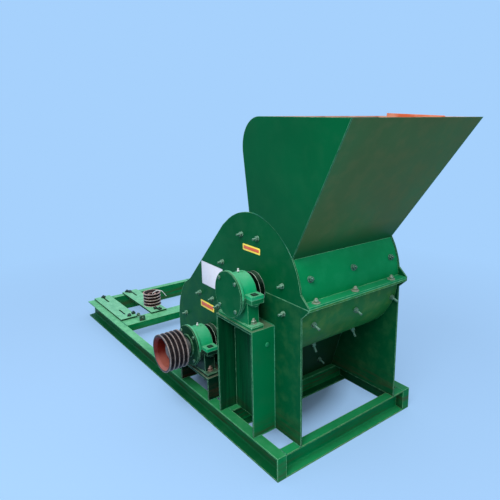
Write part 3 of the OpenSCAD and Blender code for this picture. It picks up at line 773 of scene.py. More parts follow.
RUSTY_BOLTS = PaintedHardware("rusted_bolts", "5c4536", "a08a7c", "6e4434", 0.7)
FLANGE_BOLTS = PaintedHardware("flange_bolts", "3b7a5a", "a9b8a6", "8a5d50", 0.6)
SCREW_PAINT = PaintedHardware("adjusting_screw_paint", "1d5c3c", "6f9a7c", "5d4637", 0.8)
NIPPLE_ZINC = PaintedHardware("zinc_nipple", "c9cfcc", "f2f5f2", "8f8a80", 0.2)
WELD = WeldMetal("painted_weld")
HOPPER_WELD = WeldMetal("hopper_weld", "035435", "1c7a50")


# ---------- modelling by hand ----------


def take(*pieces: Piece) -> None:
    """Leave edit mode and select some pieces alone, as an operator acts on all that is selected.

    Args:
        *pieces: The pieces, the active one first, or none.
    """
    if bpy.context.object and bpy.context.object.mode != "OBJECT":
        bpy.ops.object.mode_set(mode="OBJECT")
    bpy.ops.object.select_all(action="DESELECT")
    for piece in pieces:
        piece.select_set(True)
    if pieces:
        bpy.context.view_layer.objects.active = pieces[0]


def new_rod(radius: float, depth: float, middle: Sequence[float], sides: int) -> Piece:
    """Add an upright rod at its size and place.

    Args:
        radius: Radius to its corners, in metres.
        depth: Height in metres.
        middle: Its middle in metres.
        sides: Number of its sides.

    Returns:
        The rod, selected alone.
    """
    take()
    bpy.ops.mesh.primitive_cylinder_add(vertices=sides, radius=radius, depth=depth, location=middle)
    return bpy.context.active_object


def new_block(size: Sequence[float], middle: Sequence[float]) -> Piece:
    """Add a block at its size and place.

    Args:
        size: Its sides in metres.
        middle: Its middle in metres.

    Returns:
        The block, its place and size in its mesh.
    """
    take()
    bpy.ops.mesh.primitive_cube_add(size=1.0, location=middle, scale=size)
    return bake_place(bpy.context.active_object)


def bake_place(piece: Piece) -> Piece:
    """Put a piece's place, turn and scale into its mesh.

    Args:
        piece: The piece.

    Returns:
        The same piece, selected alone.
    """
    take(piece)
    bpy.ops.object.transform_apply(location=True, rotation=True, scale=True)
    return piece


def pick(piece: Piece, kind: Pick, wanted: Callable[[Any], bool]) -> None:
    """Go into edit mode and select corners, edges or faces by their place or normal.

    Args:
        piece: The piece in hand.
        kind: Which of them.
        wanted: Says whether one is selected.
    """
    if piece.mode != "EDIT":
        bpy.ops.object.mode_set(mode="EDIT")
    bpy.ops.mesh.select_mode(type=kind.name)
    bpy.ops.mesh.select_all(action="DESELECT")
    mesh = bmesh.from_edit_mesh(piece.data)
    for element in getattr(mesh, kind.value):
        element.select_set(wanted(element))
    if kind is Pick.VERT:
        mesh.select_flush(True)
    bmesh.update_edit_mesh(piece.data)


def runs_along(edge: bmesh.types.BMEdge, axis: int) -> bool:
    """Say whether an edge runs along an axis, given by its number."""
    run = edge.verts[1].co - edge.verts[0].co
    return abs(run[axis]) > 0.9 * run.length


def round_corners(piece: Piece, width: float, wanted: Callable[[Any], bool]) -> None:
    """Bevel some of a piece's edges in three steps.

    Args:
        piece: The piece in hand.
        width: Width of the bevel in metres.
        wanted: Says whether an edge is bevelled.
    """
    pick(piece, Pick.EDGE, wanted)
    bpy.ops.mesh.bevel(offset=width, segments=3)
    bpy.ops.object.mode_set(mode="OBJECT")


def chamfer_top(piece: Piece, rise: float, narrowing: float) -> None:
    """Draw the top face up into a chamfer.

    Args:
        piece: An upright piece in hand.
        rise: Height of the chamfer in metres.
        narrowing: Size of its top as a part of what it was.
    """
    pick(piece, Pick.FACE, lambda face: face.normal.z > 0.9)
    bpy.ops.mesh.extrude_region_move(TRANSFORM_OT_translate={"value": (0, 0, rise)})
    bpy.ops.transform.resize(value=(narrowing, narrowing, 1), center_override=tuple(piece.location))
    bpy.ops.object.mode_set(mode="OBJECT")


def ridge(piece: Piece, length: float, pitch: float, waist: float) -> None:
    """Cut an upright rod into rings and draw in every other one, as a coarse thread or weld ripples.

    Args:
        piece: The rod in hand, its object at its own middle.
        length: Its height in metres.
        pitch: Distance between ridges in metres.
        waist: Radius between ridges, as a part of the full radius.
    """
    rings = max(2, 2 * round(length / pitch))
    pick(piece, Pick.EDGE, lambda edge: runs_along(edge, 2))
    bpy.ops.mesh.subdivide(number_cuts=rings - 1)
    pick(piece, Pick.VERT, lambda corner: round((corner.co.z / length + 0.5) * rings) % 2 == 1)
    bpy.ops.transform.resize(value=(waist, waist, 1), center_override=tuple(piece.location))
    bpy.ops.object.mode_set(mode="OBJECT")


def join(parts: Sequence[Piece]) -> Piece:
    """Join objects into the first of them.

    Args:
        parts: The objects.

    Returns:
        The joined object, selected alone.
    """
    take(*parts)
    if len(parts) > 1:
        bpy.ops.object.join()
    return parts[0]


def soften(piece: Piece, width_mm: float) -> None:
    """Round a piece's edges with a bevel modifier, and apply it.

    Args:
        piece: The piece.
        width_mm: Width of the bevel in millimetres.
    """
    take(piece)
    bpy.ops.object.modifier_add(type="BEVEL")
    bevel = piece.modifiers[-1]
    bevel.width = width_mm * MM
    bevel.segments = 2
    bevel.limit_method = "ANGLE"
    bpy.ops.object.modifier_apply(modifier=bevel.name)


def aimed(place: Sequence[float], toward: Sequence[float] = UP, turn: float = 0.0) -> Matrix:
    """Give the placement that stands a piece on a surface.

    Args:
        place: Where its foot stands, in metres.
        toward: The direction in which it points.
        turn: Its turn about that direction, in degrees.

    Returns:
        The placement.
    """
    stand = Vector(toward).to_track_quat("Z", "Y").to_matrix().to_4x4()
    return Matrix.Translation(place) @ stand @ Matrix.Rotation(math.radians(turn), 4, "Z")


def spoke(angle: float) -> Vector:
    """Give the direction at an angle over the X direction, in degrees, about the Y direction."""
    return Vector((math.cos(math.radians(angle)), 0, math.sin(math.radians(angle))))


@dataclass(frozen=True)
class Dress:
    """What a finished piece wears, and what it rides on."""

    slot: Slot
    finish: Finish
    body: Body = Body.MACHINE

    def put_on(self, piece: Piece, name: str, smooth_angle: float = 35.0) -> None:
        """Close, name and dress a piece, and let it ride.

        Args:
            piece: The modelled piece.
            name: Its name.
            smooth_angle: Edges sharper than this stay sharp, in degrees.
        """
        bake_place(piece)
        bpy.ops.object.mode_set(mode="EDIT")
        bpy.ops.mesh.select_all(action="SELECT")
        bpy.ops.mesh.remove_doubles(threshold=0.00001)
        bpy.ops.mesh.normals_make_consistent(inside=False)
        bpy.ops.object.mode_set(mode="OBJECT")
        bpy.ops.object.shade_smooth_by_angle(angle=math.radians(smooth_angle))
        piece.name = name
        piece.data.name = name
        piece.data.materials.clear()
        piece.data.materials.append(self.finish.material())
        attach(piece, self.body.value)
        log.info("%s: %d faces on %s", name, len(piece.data.polygons), self.body.value)

    def copy_out(self, template: Piece, groups: dict[str, list[Matrix]]) -> None:
        """Copy a template to every place, each copy with its own mesh, and take the template away.

        Args:
            template: What is copied, modelled at the origin and pointing up.
            groups: Names of the finished pieces, each with the places of its copies.
        """
        for name, places in groups.items():
            made = []
            for place in places:
                copy = bpy.data.objects.new(name, template.data.copy())
                bpy.context.scene.collection.objects.link(copy)
                copy.data.transform(place)
                made.append(copy)
            self.put_on(join(made), name)
        bpy.data.objects.remove(template, do_unlink=True)


@dataclass(frozen=True)
class Fastener:
    """A bolt or a stud with its nut and washer, modelled once, its foot at the origin.

    Attributes:
        across: Size of the head across its flats, in millimetres.
        head_h: Height of the head in millimetres.
        washer_d: Diameter of the washer in millimetres, or 0.
        stick_out: How far the thread stands out over the nut, in millimetres, or 0.
        thread_d: Diameter of the thread in millimetres.
        head: Shape of the head or nut.
        washer_t: Thickness of the washer in millimetres.
    """

    across: float
    head_h: float
    washer_d: float = 0.0
    stick_out: float = 0.0
    thread_d: float = 16.0
    head: Head = Head.HEX
    washer_t: float = 3.0

    def model(self) -> Piece:
        """Model the washer, the head and the thread.

        Returns:
            The fastener, pointing up from the origin.
        """
        seat = self.washer_t if self.washer_d else 0.0
        parts = [self.nut(seat)]
        if self.washer_d:
            washer = new_rod(self.washer_d / 2 * MM, seat * MM, (0, 0, seat / 2 * MM), 20)
            chamfer_top(washer, rise=0.6 * MM, narrowing=0.95)
            parts.append(washer)
        if self.stick_out:
            length = self.stick_out * MM
            foot = (seat + self.head_h) * MM
            thread = new_rod(self.thread_d / 2 * MM, length, (0, 0, foot + length / 2), 12)
            # An M16 thread has a 2 mm pitch; it is cut at 4 mm so that its ridges show
            ridge(thread, length, pitch=4 * MM, waist=0.86)
            chamfer_top(thread, rise=1.5 * MM, narrowing=0.8)
            parts.append(thread)
        return bake_place(join(parts))

    def nut(self, foot: float) -> Piece:
        """Model the head or nut, chamfered on top.

        Args:
            foot: Height of its underside in millimetres.

        Returns:
            The nut.
        """
        flats = self.head.value
        corner = self.across / 2 / math.cos(math.pi / flats)
        chamfer = 0.14 * self.head_h
        height = self.head_h - chamfer
        nut = new_rod(corner * MM, height * MM, (0, 0, (foot + height / 2) * MM), flats)
        chamfer_top(nut, chamfer * MM, narrowing=0.88)
        return nut


@dataclass(frozen=True)
class WeldBead:
    """A run of stick weld with its ripples.

    Attributes:
        radius: Radius of the bead in millimetres.
        ripple: Distance between ripples in millimetres, drawn coarse so that they show.
        sides: Number of its sides.
    """

    radius: float = 3.4
    ripple: float = 8.0
    sides: int = 8

    def run(self, start: Sequence[float], end: Sequence[float]) -> Piece:
        """Lay a straight run.

        Args:
            start: Where it begins, in metres.
            end: Where it ends, in metres.

        Returns:
            The bead.
        """
        way = Vector(end) - Vector(start)
        bead = new_rod(self.radius * MM, way.length, (0, 0, 0), self.sides)
        ridge(bead, way.length, self.ripple * MM, waist=0.78)
        bead.data.transform(aimed((Vector(start) + Vector(end)) / 2, way))
        return bead

    def arc(self, middle: Vector, radius: float, first: float, last: float) -> Piece:
        """Lay a run round an arc about the Y direction.

        Args:
            middle: Middle of the arc in metres.
            radius: Radius of the arc in metres.
            first: Where it begins, in degrees over the X direction.
            last: Where it ends, in degrees.

        Returns:
            The bead.
        """
        sweep = math.radians(last - first)
        steps = max(4, round(sweep * radius / (self.ripple / 2 * MM)))
        take()
        bpy.ops.mesh.primitive_circle_add(vertices=self.sides, radius=self.radius * MM, fill_type="NGON",
                                          location=middle + spoke(first) * radius,
                                          rotation=(0, -math.radians(first), 0))
        bead = bake_place(bpy.context.active_object)
        pick(bead, Pick.FACE, lambda face: True)
        bpy.ops.mesh.spin(steps=steps, angle=sweep, center=middle, axis=(0, 1, 0))
        bpy.ops.object.mode_set(mode="OBJECT")
        return bead


# ---------- sub-assemblies ----------


def centre_of(node: str) -> Vector:
    """Give the middle of a node's box, in metres."""
    low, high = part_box(node)
    return (low + high) / 2


def crown() -> tuple[Vector, float]:
    """Give the round of the upper chamber.

    Returns:
        Its middle and its radius in metres.
    """
    low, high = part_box("near_upper_side_plate")
    radius = high.z - low.z
    return Vector((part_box("front_cross_channel")[1].x - radius, 0, low.z)), radius


@dataclass
class SideStuds:
    """Studs that hold the wear liners to the casing's side plates, on both sides.

    Attributes:
        rings: Offsets of the studs about the upper and the lower shaft, in millimetres.
        stud: The stud with its nut.
    """

    rings: tuple[tuple[Pair, ...], ...] = (((-106, 253), (32, 256), (-295, 64), (221, 66), (230, -68)),
                                           ((-123, 244), (19, 244), (73, 215), (-306, 59)))
    stud: Fastener = Fastener(across=21, head_h=12, washer_d=27, stick_out=16, thread_d=12)

    def build(self) -> None:
        """Place the studs on both side plates."""
        plate = abs(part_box("near_lower_side_plate")[0].y)
        spots = []
        for ring, level in zip(self.rings, LEVELS):
            axis = centre_of(f"{level}_shaft")
            spots += [(axis.x + along * MM, axis.z + rise * MM) for along, rise in ring]
        groups = {f"{side.word}_liner_studs": [
            aimed((x, side.value * plate, z), (0, side.value, 0), GOLDEN_TURN * number)
            for number, (x, z) in enumerate(spots)] for side in Side}
        Dress(Slot.BODY, STUD_PAINT).copy_out(self.stud.model(), groups)


@dataclass
class ShellStuds:
    """Bolts and studs that hold the liners to the front shells.

    Attributes:
        bolt: The bolts of the upper row.
        bolt_angle: Angle of that row over the crown's axis, in degrees.
        bolt_rows: Places of that row across the machine, in millimetres.
        stud: The studs of the other rows.
        stud_angle: Angle of the lower row, in degrees.
        stud_rows: Places of the lower row, in millimetres.
        under_angle: Angle of the row under the casing, in degrees.
        under_rows: Places of that row, in millimetres.
        throat_stud: Place of the lone stud on the throat plate, across and over the floor, in millimetres.
        throat_lean: How far the throat plate leans forward, in degrees.
        plate_t: Thickness of the shell in millimetres, which is also half the front beam's flange.
    """

    bolt: Fastener = Fastener(across=24, head_h=12, washer_d=32, stick_out=9, thread_d=13)
    bolt_angle: float = 17.7
    bolt_rows: tuple[float, ...] = (-274, 7, 286)
    stud: Fastener = Fastener(across=22, head_h=12, washer_d=28, stick_out=30, thread_d=13)
    stud_angle: float = -18.0
    stud_rows: tuple[float, ...] = (-250, 33, 312)
    under_angle: float = -58.0
    under_rows: tuple[float, ...] = (-110, 180)
    throat_stud: Pair = (200, 220)
    throat_lean: float = 19.0
    plate_t: float = 6.0

    def build(self) -> None:
        """Place the rows on the round of the upper chamber."""
        Dress(Slot.BODY, SHELL_BOLTS).copy_out(self.bolt.model(), {
            "front_shell_bolts": self.row(self.bolt_angle, self.bolt_rows)})
        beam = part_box("body_front_beam")[1]
        across, height = (size * MM for size in self.throat_stud)
        lean = math.radians(self.throat_lean)
        foot = centre_of("body_front_beam").x - self.plate_t * MM
        spot = (foot + (height - beam.z) * math.tan(lean), across, height)
        Dress(Slot.BODY, STUD_PAINT).copy_out(self.stud.model(), {
            "lower_shell_studs": self.row(self.stud_angle, self.stud_rows),
            "under_shell_studs": self.row(self.under_angle, self.under_rows),
            "throat_plate_stud": [aimed(spot, spoke(-self.throat_lean))]})

    def row(self, angle: float, rows: Sequence[float]) -> list[Matrix]:
        """Give the places of one row along the shell, pointing straight out of it.

        Args:
            angle: Angle of the row, in degrees over level.
            rows: Places across the machine, in millimetres.

        Returns:
            The places.
        """
        middle, radius = crown()
        shell_r = max(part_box("front_upper_shell")[1].z - middle.z, radius - self.plate_t * MM)
        return [aimed(middle + spoke(angle) * shell_r + Vector((0, across * MM, 0)), spoke(angle),
                      GOLDEN_TURN * number) for number, across in enumerate(rows)]


@dataclass
class JointBolts:
    """Bolts through the joint flange at the front, with nuts on top and heads under.

    Attributes:
        rows: Places across the machine, in millimetres.
        inset: Distance of the bolts from the flange's front edge, in millimetres.
        flange_t: Thickness of each half of the flange, in millimetres.
        nut: The nut on top.
        head: The head under it.
    """

    rows: tuple[float, ...] = (-275, -20, 248)
    inset: float = 27.0
    flange_t: float = 11.0
    nut: Fastener = Fastener(across=22, head_h=11, washer_d=40, stick_out=7, thread_d=14)
    head: Fastener = Fastener(across=22, head_h=9, washer_d=28)

    def build(self) -> None:
        """Place nuts on top of the flange and heads under it."""
        low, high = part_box("front_upper_shell")
        dress = Dress(Slot.BODY, FLANGE_BOLTS)
        for fastener, name, way, turn in ((self.nut, "joint_flange_nuts", 1, 20),
                                          (self.head, "joint_flange_heads", -1, 0)):
            spots = [(high.x - self.inset * MM, across * MM, low.z + way * self.flange_t * MM)
                     for across in self.rows]
            dress.copy_out(fastener.model(), {name: [aimed(spot, (0, 0, way), turn + across)
                                                     for spot, across in zip(spots, self.rows)]})


@dataclass
class BearingHardware:
    """Bolts, nipple and drain plug of one split pillow block and its pedestal.

    Attributes:
        level: Which rotor the housing carries.
        side: Which side of the machine it stands on.
        nose_l: How far the barrel reaches past the foot towards its cover, in millimetres.
        cover_out: How far the cover stands out of the cap, in millimetres.
        cover_ring: Radius of the cover bolts' ring, in millimetres.
        lug_in: How far the cap bolts stand inside the cap's ends, in millimetres.
        lug_up: How far they stand over the axis, in millimetres.
        foot_in: How far the foot studs stand inside the base's ends, in millimetres.
        foot_t: Thickness of the foot in millimetres.
        boss_up: Height of the nipple's boss over the axis, in millimetres.
        boss_out: How far it stands outside the housing's middle, in millimetres.
        hole_in: How far the pedestal's drain hole lies inside the housing's middle, in millimetres.
        hole_drop: How far it lies under the pedestal's top, in millimetres.
        cover_bolt: The hex bolt of a cover.
        cap_bolt: The square bolt of a cap.
        foot_stud: The stud of a foot.
        plug: Radius and thickness of the drain hole's plug, in millimetres.
        nipple_hex: Corner radius and height of the nipple's hex, in millimetres.
        nipple_ball: Radius of its ball, and the ball's height over its foot, in millimetres.
    """

    level: str
    side: Side
    nose_l: float = 26.0
    cover_out: float = 9.0
    cover_ring: float = 97.0
    lug_in: float = 26.5
    lug_up: float = 10.0
    foot_in: float = 40.0
    foot_t: float = 19.0
    boss_up: float = 102.0
    boss_out: float = 6.0
    hole_in: float = 45.0
    hole_drop: float = 86.0
    cover_bolt: Fastener = Fastener(across=17, head_h=8)
    cap_bolt: Fastener = Fastener(across=24, head_h=12, head=Head.SQUARE)
    foot_stud: Fastener = Fastener(across=26, head_h=14, washer_d=34, stick_out=9, thread_d=17)
    plug: Pair = (11.0, 3.0)
    nipple_hex: Pair = (7.0, 6.0)
    nipple_ball: Pair = (4.6, 12.0)

    def build(self) -> None:
        """Place the hardware of this bearing."""
        prefix = f"{self.level}_{self.side.word}"
        way = self.side.value
        low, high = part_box(f"{prefix}_bearing_cap")
        base_low, base_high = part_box(f"{prefix}_bearing_base")
        axis = Vector(((low.x + high.x) / 2, 0, low.z))
        face = max(abs(low.y), abs(high.y)) + self.cover_out * MM - BITE
        middle = abs(low.y + high.y) / 2 - self.nose_l / 2 * MM
        ring = [axis + spoke(45 + 90 * quarter) * self.cover_ring * MM for quarter in range(4)]
        Dress(Slot.BEARING, STUD_PAINT).copy_out(self.cover_bolt.model(), {
            f"{prefix}_cover_bolts": [aimed((spot.x, way * face, spot.z), (0, way, 0), 25 * quarter)
                                      for quarter, spot in enumerate(ring)]})
        lugs = (high.x - low.x) / 2 - self.lug_in * MM
        Dress(Slot.BEARING, DARK_BOLTS).copy_out(self.cap_bolt.model(), {
            f"{prefix}_cap_bolts": [aimed((axis.x + end * lugs, way * middle, axis.z + self.lug_up * MM),
                                          turn=45) for end in (-1, 1)]})
        feet = (base_high.x - base_low.x) / 2 - self.foot_in * MM
        worn = RUSTY_BOLTS if self.level == "lower" else FLANGE_BOLTS
        Dress(Slot.BEARING, worn).copy_out(self.foot_stud.model(), {
            f"{prefix}_foot_studs": [aimed((axis.x + end * feet, way * middle, base_low.z + self.foot_t * MM),
                                           turn=12) for end in (-1, 1)]})
        boss = (axis.x, way * (middle + self.boss_out * MM), axis.z + self.boss_up * MM)
        Dress(Slot.BEARING, NIPPLE_ZINC).copy_out(self.model_nipple(), {
            f"{prefix}_grease_nipple": [aimed(boss)]})
        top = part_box(f"{prefix}_pedestal")[1]
        hole = (top.x, way * (middle - self.hole_in * MM), top.z - self.hole_drop * MM)
        Dress(Slot.BODY, PLUG_PAINT).copy_out(self.model_plug(), {
            f"{prefix}_pedestal_plug": [aimed(hole, (1, 0, 0))]})

    def model_plug(self) -> Piece:
        """Model the domed plug that closes the drain hole in the pedestal's front cheek.

        Returns:
            The plug.
        """
        radius, thickness = (size * MM for size in self.plug)
        plug = new_rod(radius, thickness, (0, 0, thickness / 2), 20)
        chamfer_top(plug, rise=thickness / 2, narrowing=0.7)
        return bake_place(plug)

    def model_nipple(self) -> Piece:
        """Model the grease nipple: a hex, a neck and a ball.

        Returns:
            The nipple.
        """
        corner, height = (size * MM for size in self.nipple_hex)
        ball, rise = (size * MM for size in self.nipple_ball)
        hexagon = new_rod(corner, height, (0, 0, height / 2), 6)
        chamfer_top(hexagon, rise=height / 2, narrowing=0.55)
        take()
        bpy.ops.mesh.primitive_uv_sphere_add(segments=12, ring_count=8, radius=ball, location=(0, 0, rise))
        return bake_place(join([hexagon, bpy.context.active_object]))


@dataclass
class BlankPlates:
    """Sheets stuck on the near side plates, left blank.

    Attributes:
        sheet_t: Thickness of a sheet in millimetres.
        corner_r: Rounding of its corners in millimetres.
        notice: Low X, high X, low Z and high Z of the white sheet about the upper axis, in millimetres.
        upper_strip: The same of the upper yellow strip.
        lower_strip: The same of the lower yellow strip.
    """

    sheet_t: float = 1.2
    corner_r: float = 4.0
    notice: tuple[float, float, float, float] = (-528, -301, -118, 19)
    upper_strip: tuple[float, float, float, float] = (-98, 49, 175, 208)
    lower_strip: tuple[float, float, float, float] = (-555, -407, -265, -224)

    def build(self) -> None:
        """Stick the white sheet and the two strips."""
        yellow = {"field_colour": "d8551a", "border_colour": "ffe040"}
        self.stick("blank_notice_sheet", self.notice, 4.0, {})
        self.stick("upper_blank_strip", self.upper_strip, 8.0, yellow)
        self.stick("lower_blank_strip", self.lower_strip, 9.0, yellow)

    def stick(self, name: str, edges: tuple[float, float, float, float], border: float,
              colours: dict[str, str]) -> None:
        """Stick one sheet.

        Args:
            name: Its name.
            edges: Its edges about the upper axis, in millimetres.
            border: Width of its border in millimetres.
            colours: Colours of its vinyl.
        """
        axis = centre_of("upper_shaft")
        x1, x2, z1, z2 = (edge * MM for edge in edges)
        low = (axis.x + x1, axis.z + z1)
        high = (axis.x + x2, axis.z + z2)
        thickness = self.sheet_t * MM
        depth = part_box("near_upper_side_plate")[0].y - thickness / 2 + 0.1 * MM
        middle = ((low[0] + high[0]) / 2, depth, (low[1] + high[1]) / 2)
        sheet = new_block((x2 - x1, thickness, z2 - z1), middle)
        round_corners(sheet, self.corner_r * MM, lambda edge: runs_along(edge, 1))
        soften(sheet, 0.3)
        rim = border * MM
        finish = Vinyl(f"{name}_vinyl", (low[0] + rim, low[1] + rim), (high[0] - rim, high[1] - rim),
                       **colours)
        Dress(Slot.BODY, finish).put_on(sheet, name)


@dataclass
class Welds:
    """Weld beads where the plates and channels meet.

    Attributes:
        bead: The bead used on plates.
        hopper_bead: The finer bead along the hopper's foot.
        arc: From and to which angle the hopper's side walls meet the crown, in degrees over level.
        foot_in: How far the bead under the hopper's front lies inside the wall, in millimetres.
        foot_drop: How far it lies under the shell's top, in millimetres.
        crossings: The cross channels and beams between the long channels.
        smooth: Beads are shaded smooth up to this angle, in degrees.
    """

    bead: WeldBead = WeldBead()
    hopper_bead: WeldBead = WeldBead(radius=2.6)
    arc: Pair = (35, 88)
    foot_in: float = 11.0
    foot_drop: float = 4.0
    crossings: tuple[str, ...] = ("front_cross_channel", "body_front_beam", "body_rear_beam",
                                  "rear_cross_channel", "motor_cross_beam")
    smooth: float = 60.0

    def build(self) -> None:
        """Lay the beads of every joint."""
        self.hopper_feet()
        self.pedestals()
        self.skid()

    def hopper_feet(self) -> None:
        """Weld the hopper's side walls round the crown's edge, and its front to the shell."""
        dress = Dress(Slot.HOPPER, HOPPER_WELD)
        middle, radius = crown()
        plate = abs(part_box("near_upper_side_plate")[0].y)
        for side in Side:
            face = middle + Vector((0, side.value * (plate - BITE), 0))
            bead = self.bead.arc(face, radius + BITE, *self.arc)
            dress.put_on(bead, f"{side.word}_hopper_weld", self.smooth)
        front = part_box("hopper_front_wall")[0].x + self.foot_in * MM
        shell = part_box("front_upper_shell")[1]
        ends = [(front, side.value * shell.y, shell.z - self.foot_drop * MM) for side in Side]
        dress.put_on(self.hopper_bead.run(*ends), "hopper_front_foot_weld", self.smooth)

    def pedestals(self) -> None:
        """Weld the pedestals to the side plates and to the channels they stand on."""
        dress = Dress(Slot.BODY, WELD)
        plate = abs(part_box("near_lower_side_plate")[0].y)
        for side in Side:
            for level in LEVELS:
                low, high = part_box(f"{level}_{side.word}_pedestal")
                wall = side.value * (plate + BITE)
                rim = side.value * max(abs(low.y), abs(high.y))
                beads = []
                for x in (low.x, high.x):
                    beads.append(self.bead.run((x, wall, low.z), (x, wall, high.z)))
                    beads.append(self.bead.run((x, wall, low.z), (x, rim, low.z)))
                beads.append(self.bead.run((low.x, wall, high.z), (high.x, wall, high.z)))
                dress.put_on(join(beads), f"{side.word}_{level}_pedestal_weld", self.smooth)

    def skid(self) -> None:
        """Weld the cross channels between the long ones, and the side plates to the skid."""
        dress = Dress(Slot.FRAME, WELD)
        corners = []
        for node in self.crossings:
            low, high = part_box(node)
            for end in (-high.y, high.y):
                corners.append(self.bead.run((low.x, end, high.z), (high.x, end, high.z)))
        dress.put_on(join(corners), "skid_corner_welds", self.smooth)
        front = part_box("front_cross_channel")[1].x
        for side in Side:
            low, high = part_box(f"{side.word}_lower_side_plate")
            foot = side.value * max(abs(low.y), abs(high.y))
            stops = []
            # The plates stand on the first three only, so each bead is as long as a channel is wide
            for node in self.crossings[:3]:
                beam_low, beam_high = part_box(node)
                stops.append(self.bead.run((beam_low.x, foot, low.z), (min(beam_high.x, front), foot, low.z)))
            dress.put_on(join(stops), f"{side.word}_side_plate_welds", self.smooth)


@dataclass
class MotorRailHardware:
    """Clamp bolts and the adjusting screw on the motor rails, and the bit of wire by the pulley.

    Attributes:
        bolts: Bolts on each rail, from its rear end and from its middle, in millimetres.
        bolt: The square bolt.
        screw_aside: Distance of the adjusting screw from the near rail's middle, in millimetres.
        screw_up: Its height over the rail in millimetres.
        screw_d: Its diameter in millimetres.
        screw_l: Its length in millimetres.
        screw_out: How far its tip stands out of the motor's cross beam, in millimetres.
        screw_head: The head at its other end.
        lug: Sides of the lug that it runs through, along and across, in millimetres.
        lug_in: How far the lug's middle lies inside the beam's edge, in millimetres.
        lug_over: How far the lug stands over the screw's axis, in millimetres.
        bends: Points of the wire about the loose pulley's top, in millimetres.
        wire_d: Thickness of the wire in millimetres.
    """

    bolts: dict[Side, tuple[Pair, ...]] = field(default_factory=lambda: {
        Side.NEAR: ((30, 2), (556, 14), (530, 58)), Side.FAR: ((22, -30), (48, -14), (550, -8), (582, 12))})
    bolt: Fastener = Fastener(across=26, head_h=14, stick_out=6, thread_d=12, head=Head.SQUARE)
    screw_aside: float = 69.0
    screw_up: float = 12.0
    screw_d: float = 14.0
    screw_l: float = 90.0
    screw_out: float = 2.0
    screw_head: Fastener = Fastener(across=24, head_h=12)
    lug: Pair = (9.0, 44.0)
    lug_in: float = 20.0
    lug_over: float = 14.0
    bends: tuple[tuple[float, float, float], ...] = ((-4, 6, -16), (4, 26, 5), (16, 62, 5), (21, 78, -1),
                                                     (27, 100, -34), (30, 112, -52))
    wire_d: float = 5.6

    def build(self) -> None:
        """Place the bolts, the screw and the wire."""
        groups = {}
        for side, spots in self.bolts.items():
            low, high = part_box(f"{side.word}_motor_rail")
            middle = (low.y + high.y) / 2
            groups[f"{side.word}_rail_bolts"] = [
                aimed((low.x + along * MM, middle + aside * MM, high.z), turn=20 * number)
                for number, (along, aside) in enumerate(spots)]
        Dress(Slot.FRAME, DARK_BOLTS).copy_out(self.bolt.model(), groups)
        self.adjusting_screw()
        self.wire()

    def adjusting_screw(self) -> None:
        """Model the screw that pushes the motor along, and the lug that it runs through."""
        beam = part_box("motor_cross_beam")[1]
        aside = centre_of("near_motor_rail").y + self.screw_aside * MM
        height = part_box("near_motor_rail")[1].z + self.screw_up * MM
        tip = beam.x + self.screw_out * MM
        length = self.screw_l * MM
        thread = new_rod(self.screw_d / 2 * MM, length, (0, 0, 0), 12)
        # An M14 thread has a 2 mm pitch; it is cut at 5 mm so that its ridges show
        ridge(thread, length, pitch=5 * MM, waist=0.85)
        thread.data.transform(aimed((tip - length / 2, aside, height), (1, 0, 0)))
        nut = self.screw_head.model()
        nut.data.transform(aimed((tip - length - self.screw_head.head_h * MM, aside, height), (1, 0, 0), 10))
        lug_t, lug_w = (size * MM for size in self.lug)
        lug_h = height + self.lug_over * MM - beam.z
        lug = new_block((lug_t, lug_w, lug_h), (beam.x - self.lug_in * MM, aside, beam.z + lug_h / 2))
        round_corners(lug, lug_t, lambda edge: runs_along(edge, 0) and edge.verts[0].co.z > height)
        Dress(Slot.FRAME, SCREW_PAINT).put_on(join([lug, thread, nut]), "adjusting_screw")

    def wire(self) -> None:
        """Bend the short stiff wire that hangs out of the loose pulley's bore."""
        mouth = centre_of("motor_pulley")
        mouth.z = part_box("motor_pulley")[1].z
        curve = bpy.data.curves.new("binding_wire", "CURVE")
        curve.dimensions = "3D"
        curve.bevel_depth = self.wire_d / 2 * MM
        curve.bevel_resolution = 2
        curve.use_fill_caps = True
        spline = curve.splines.new("NURBS")
        spline.points.add(len(self.bends) - 1)
        for point, bend in zip(spline.points, self.bends):
            point.co = (*(mouth + Vector(bend) * MM), 1.0)
        spline.use_endpoint_u = True
        spline.order_u = 3
        wire = bpy.data.objects.new("binding_wire", curve)
        bpy.context.scene.collection.objects.link(wire)
        take(wire)
        bpy.ops.object.convert(target="MESH")
        Dress(Slot.MOTOR_PULLEY, BINDING_WIRE).put_on(bpy.context.active_object, "binding_wire", 60)


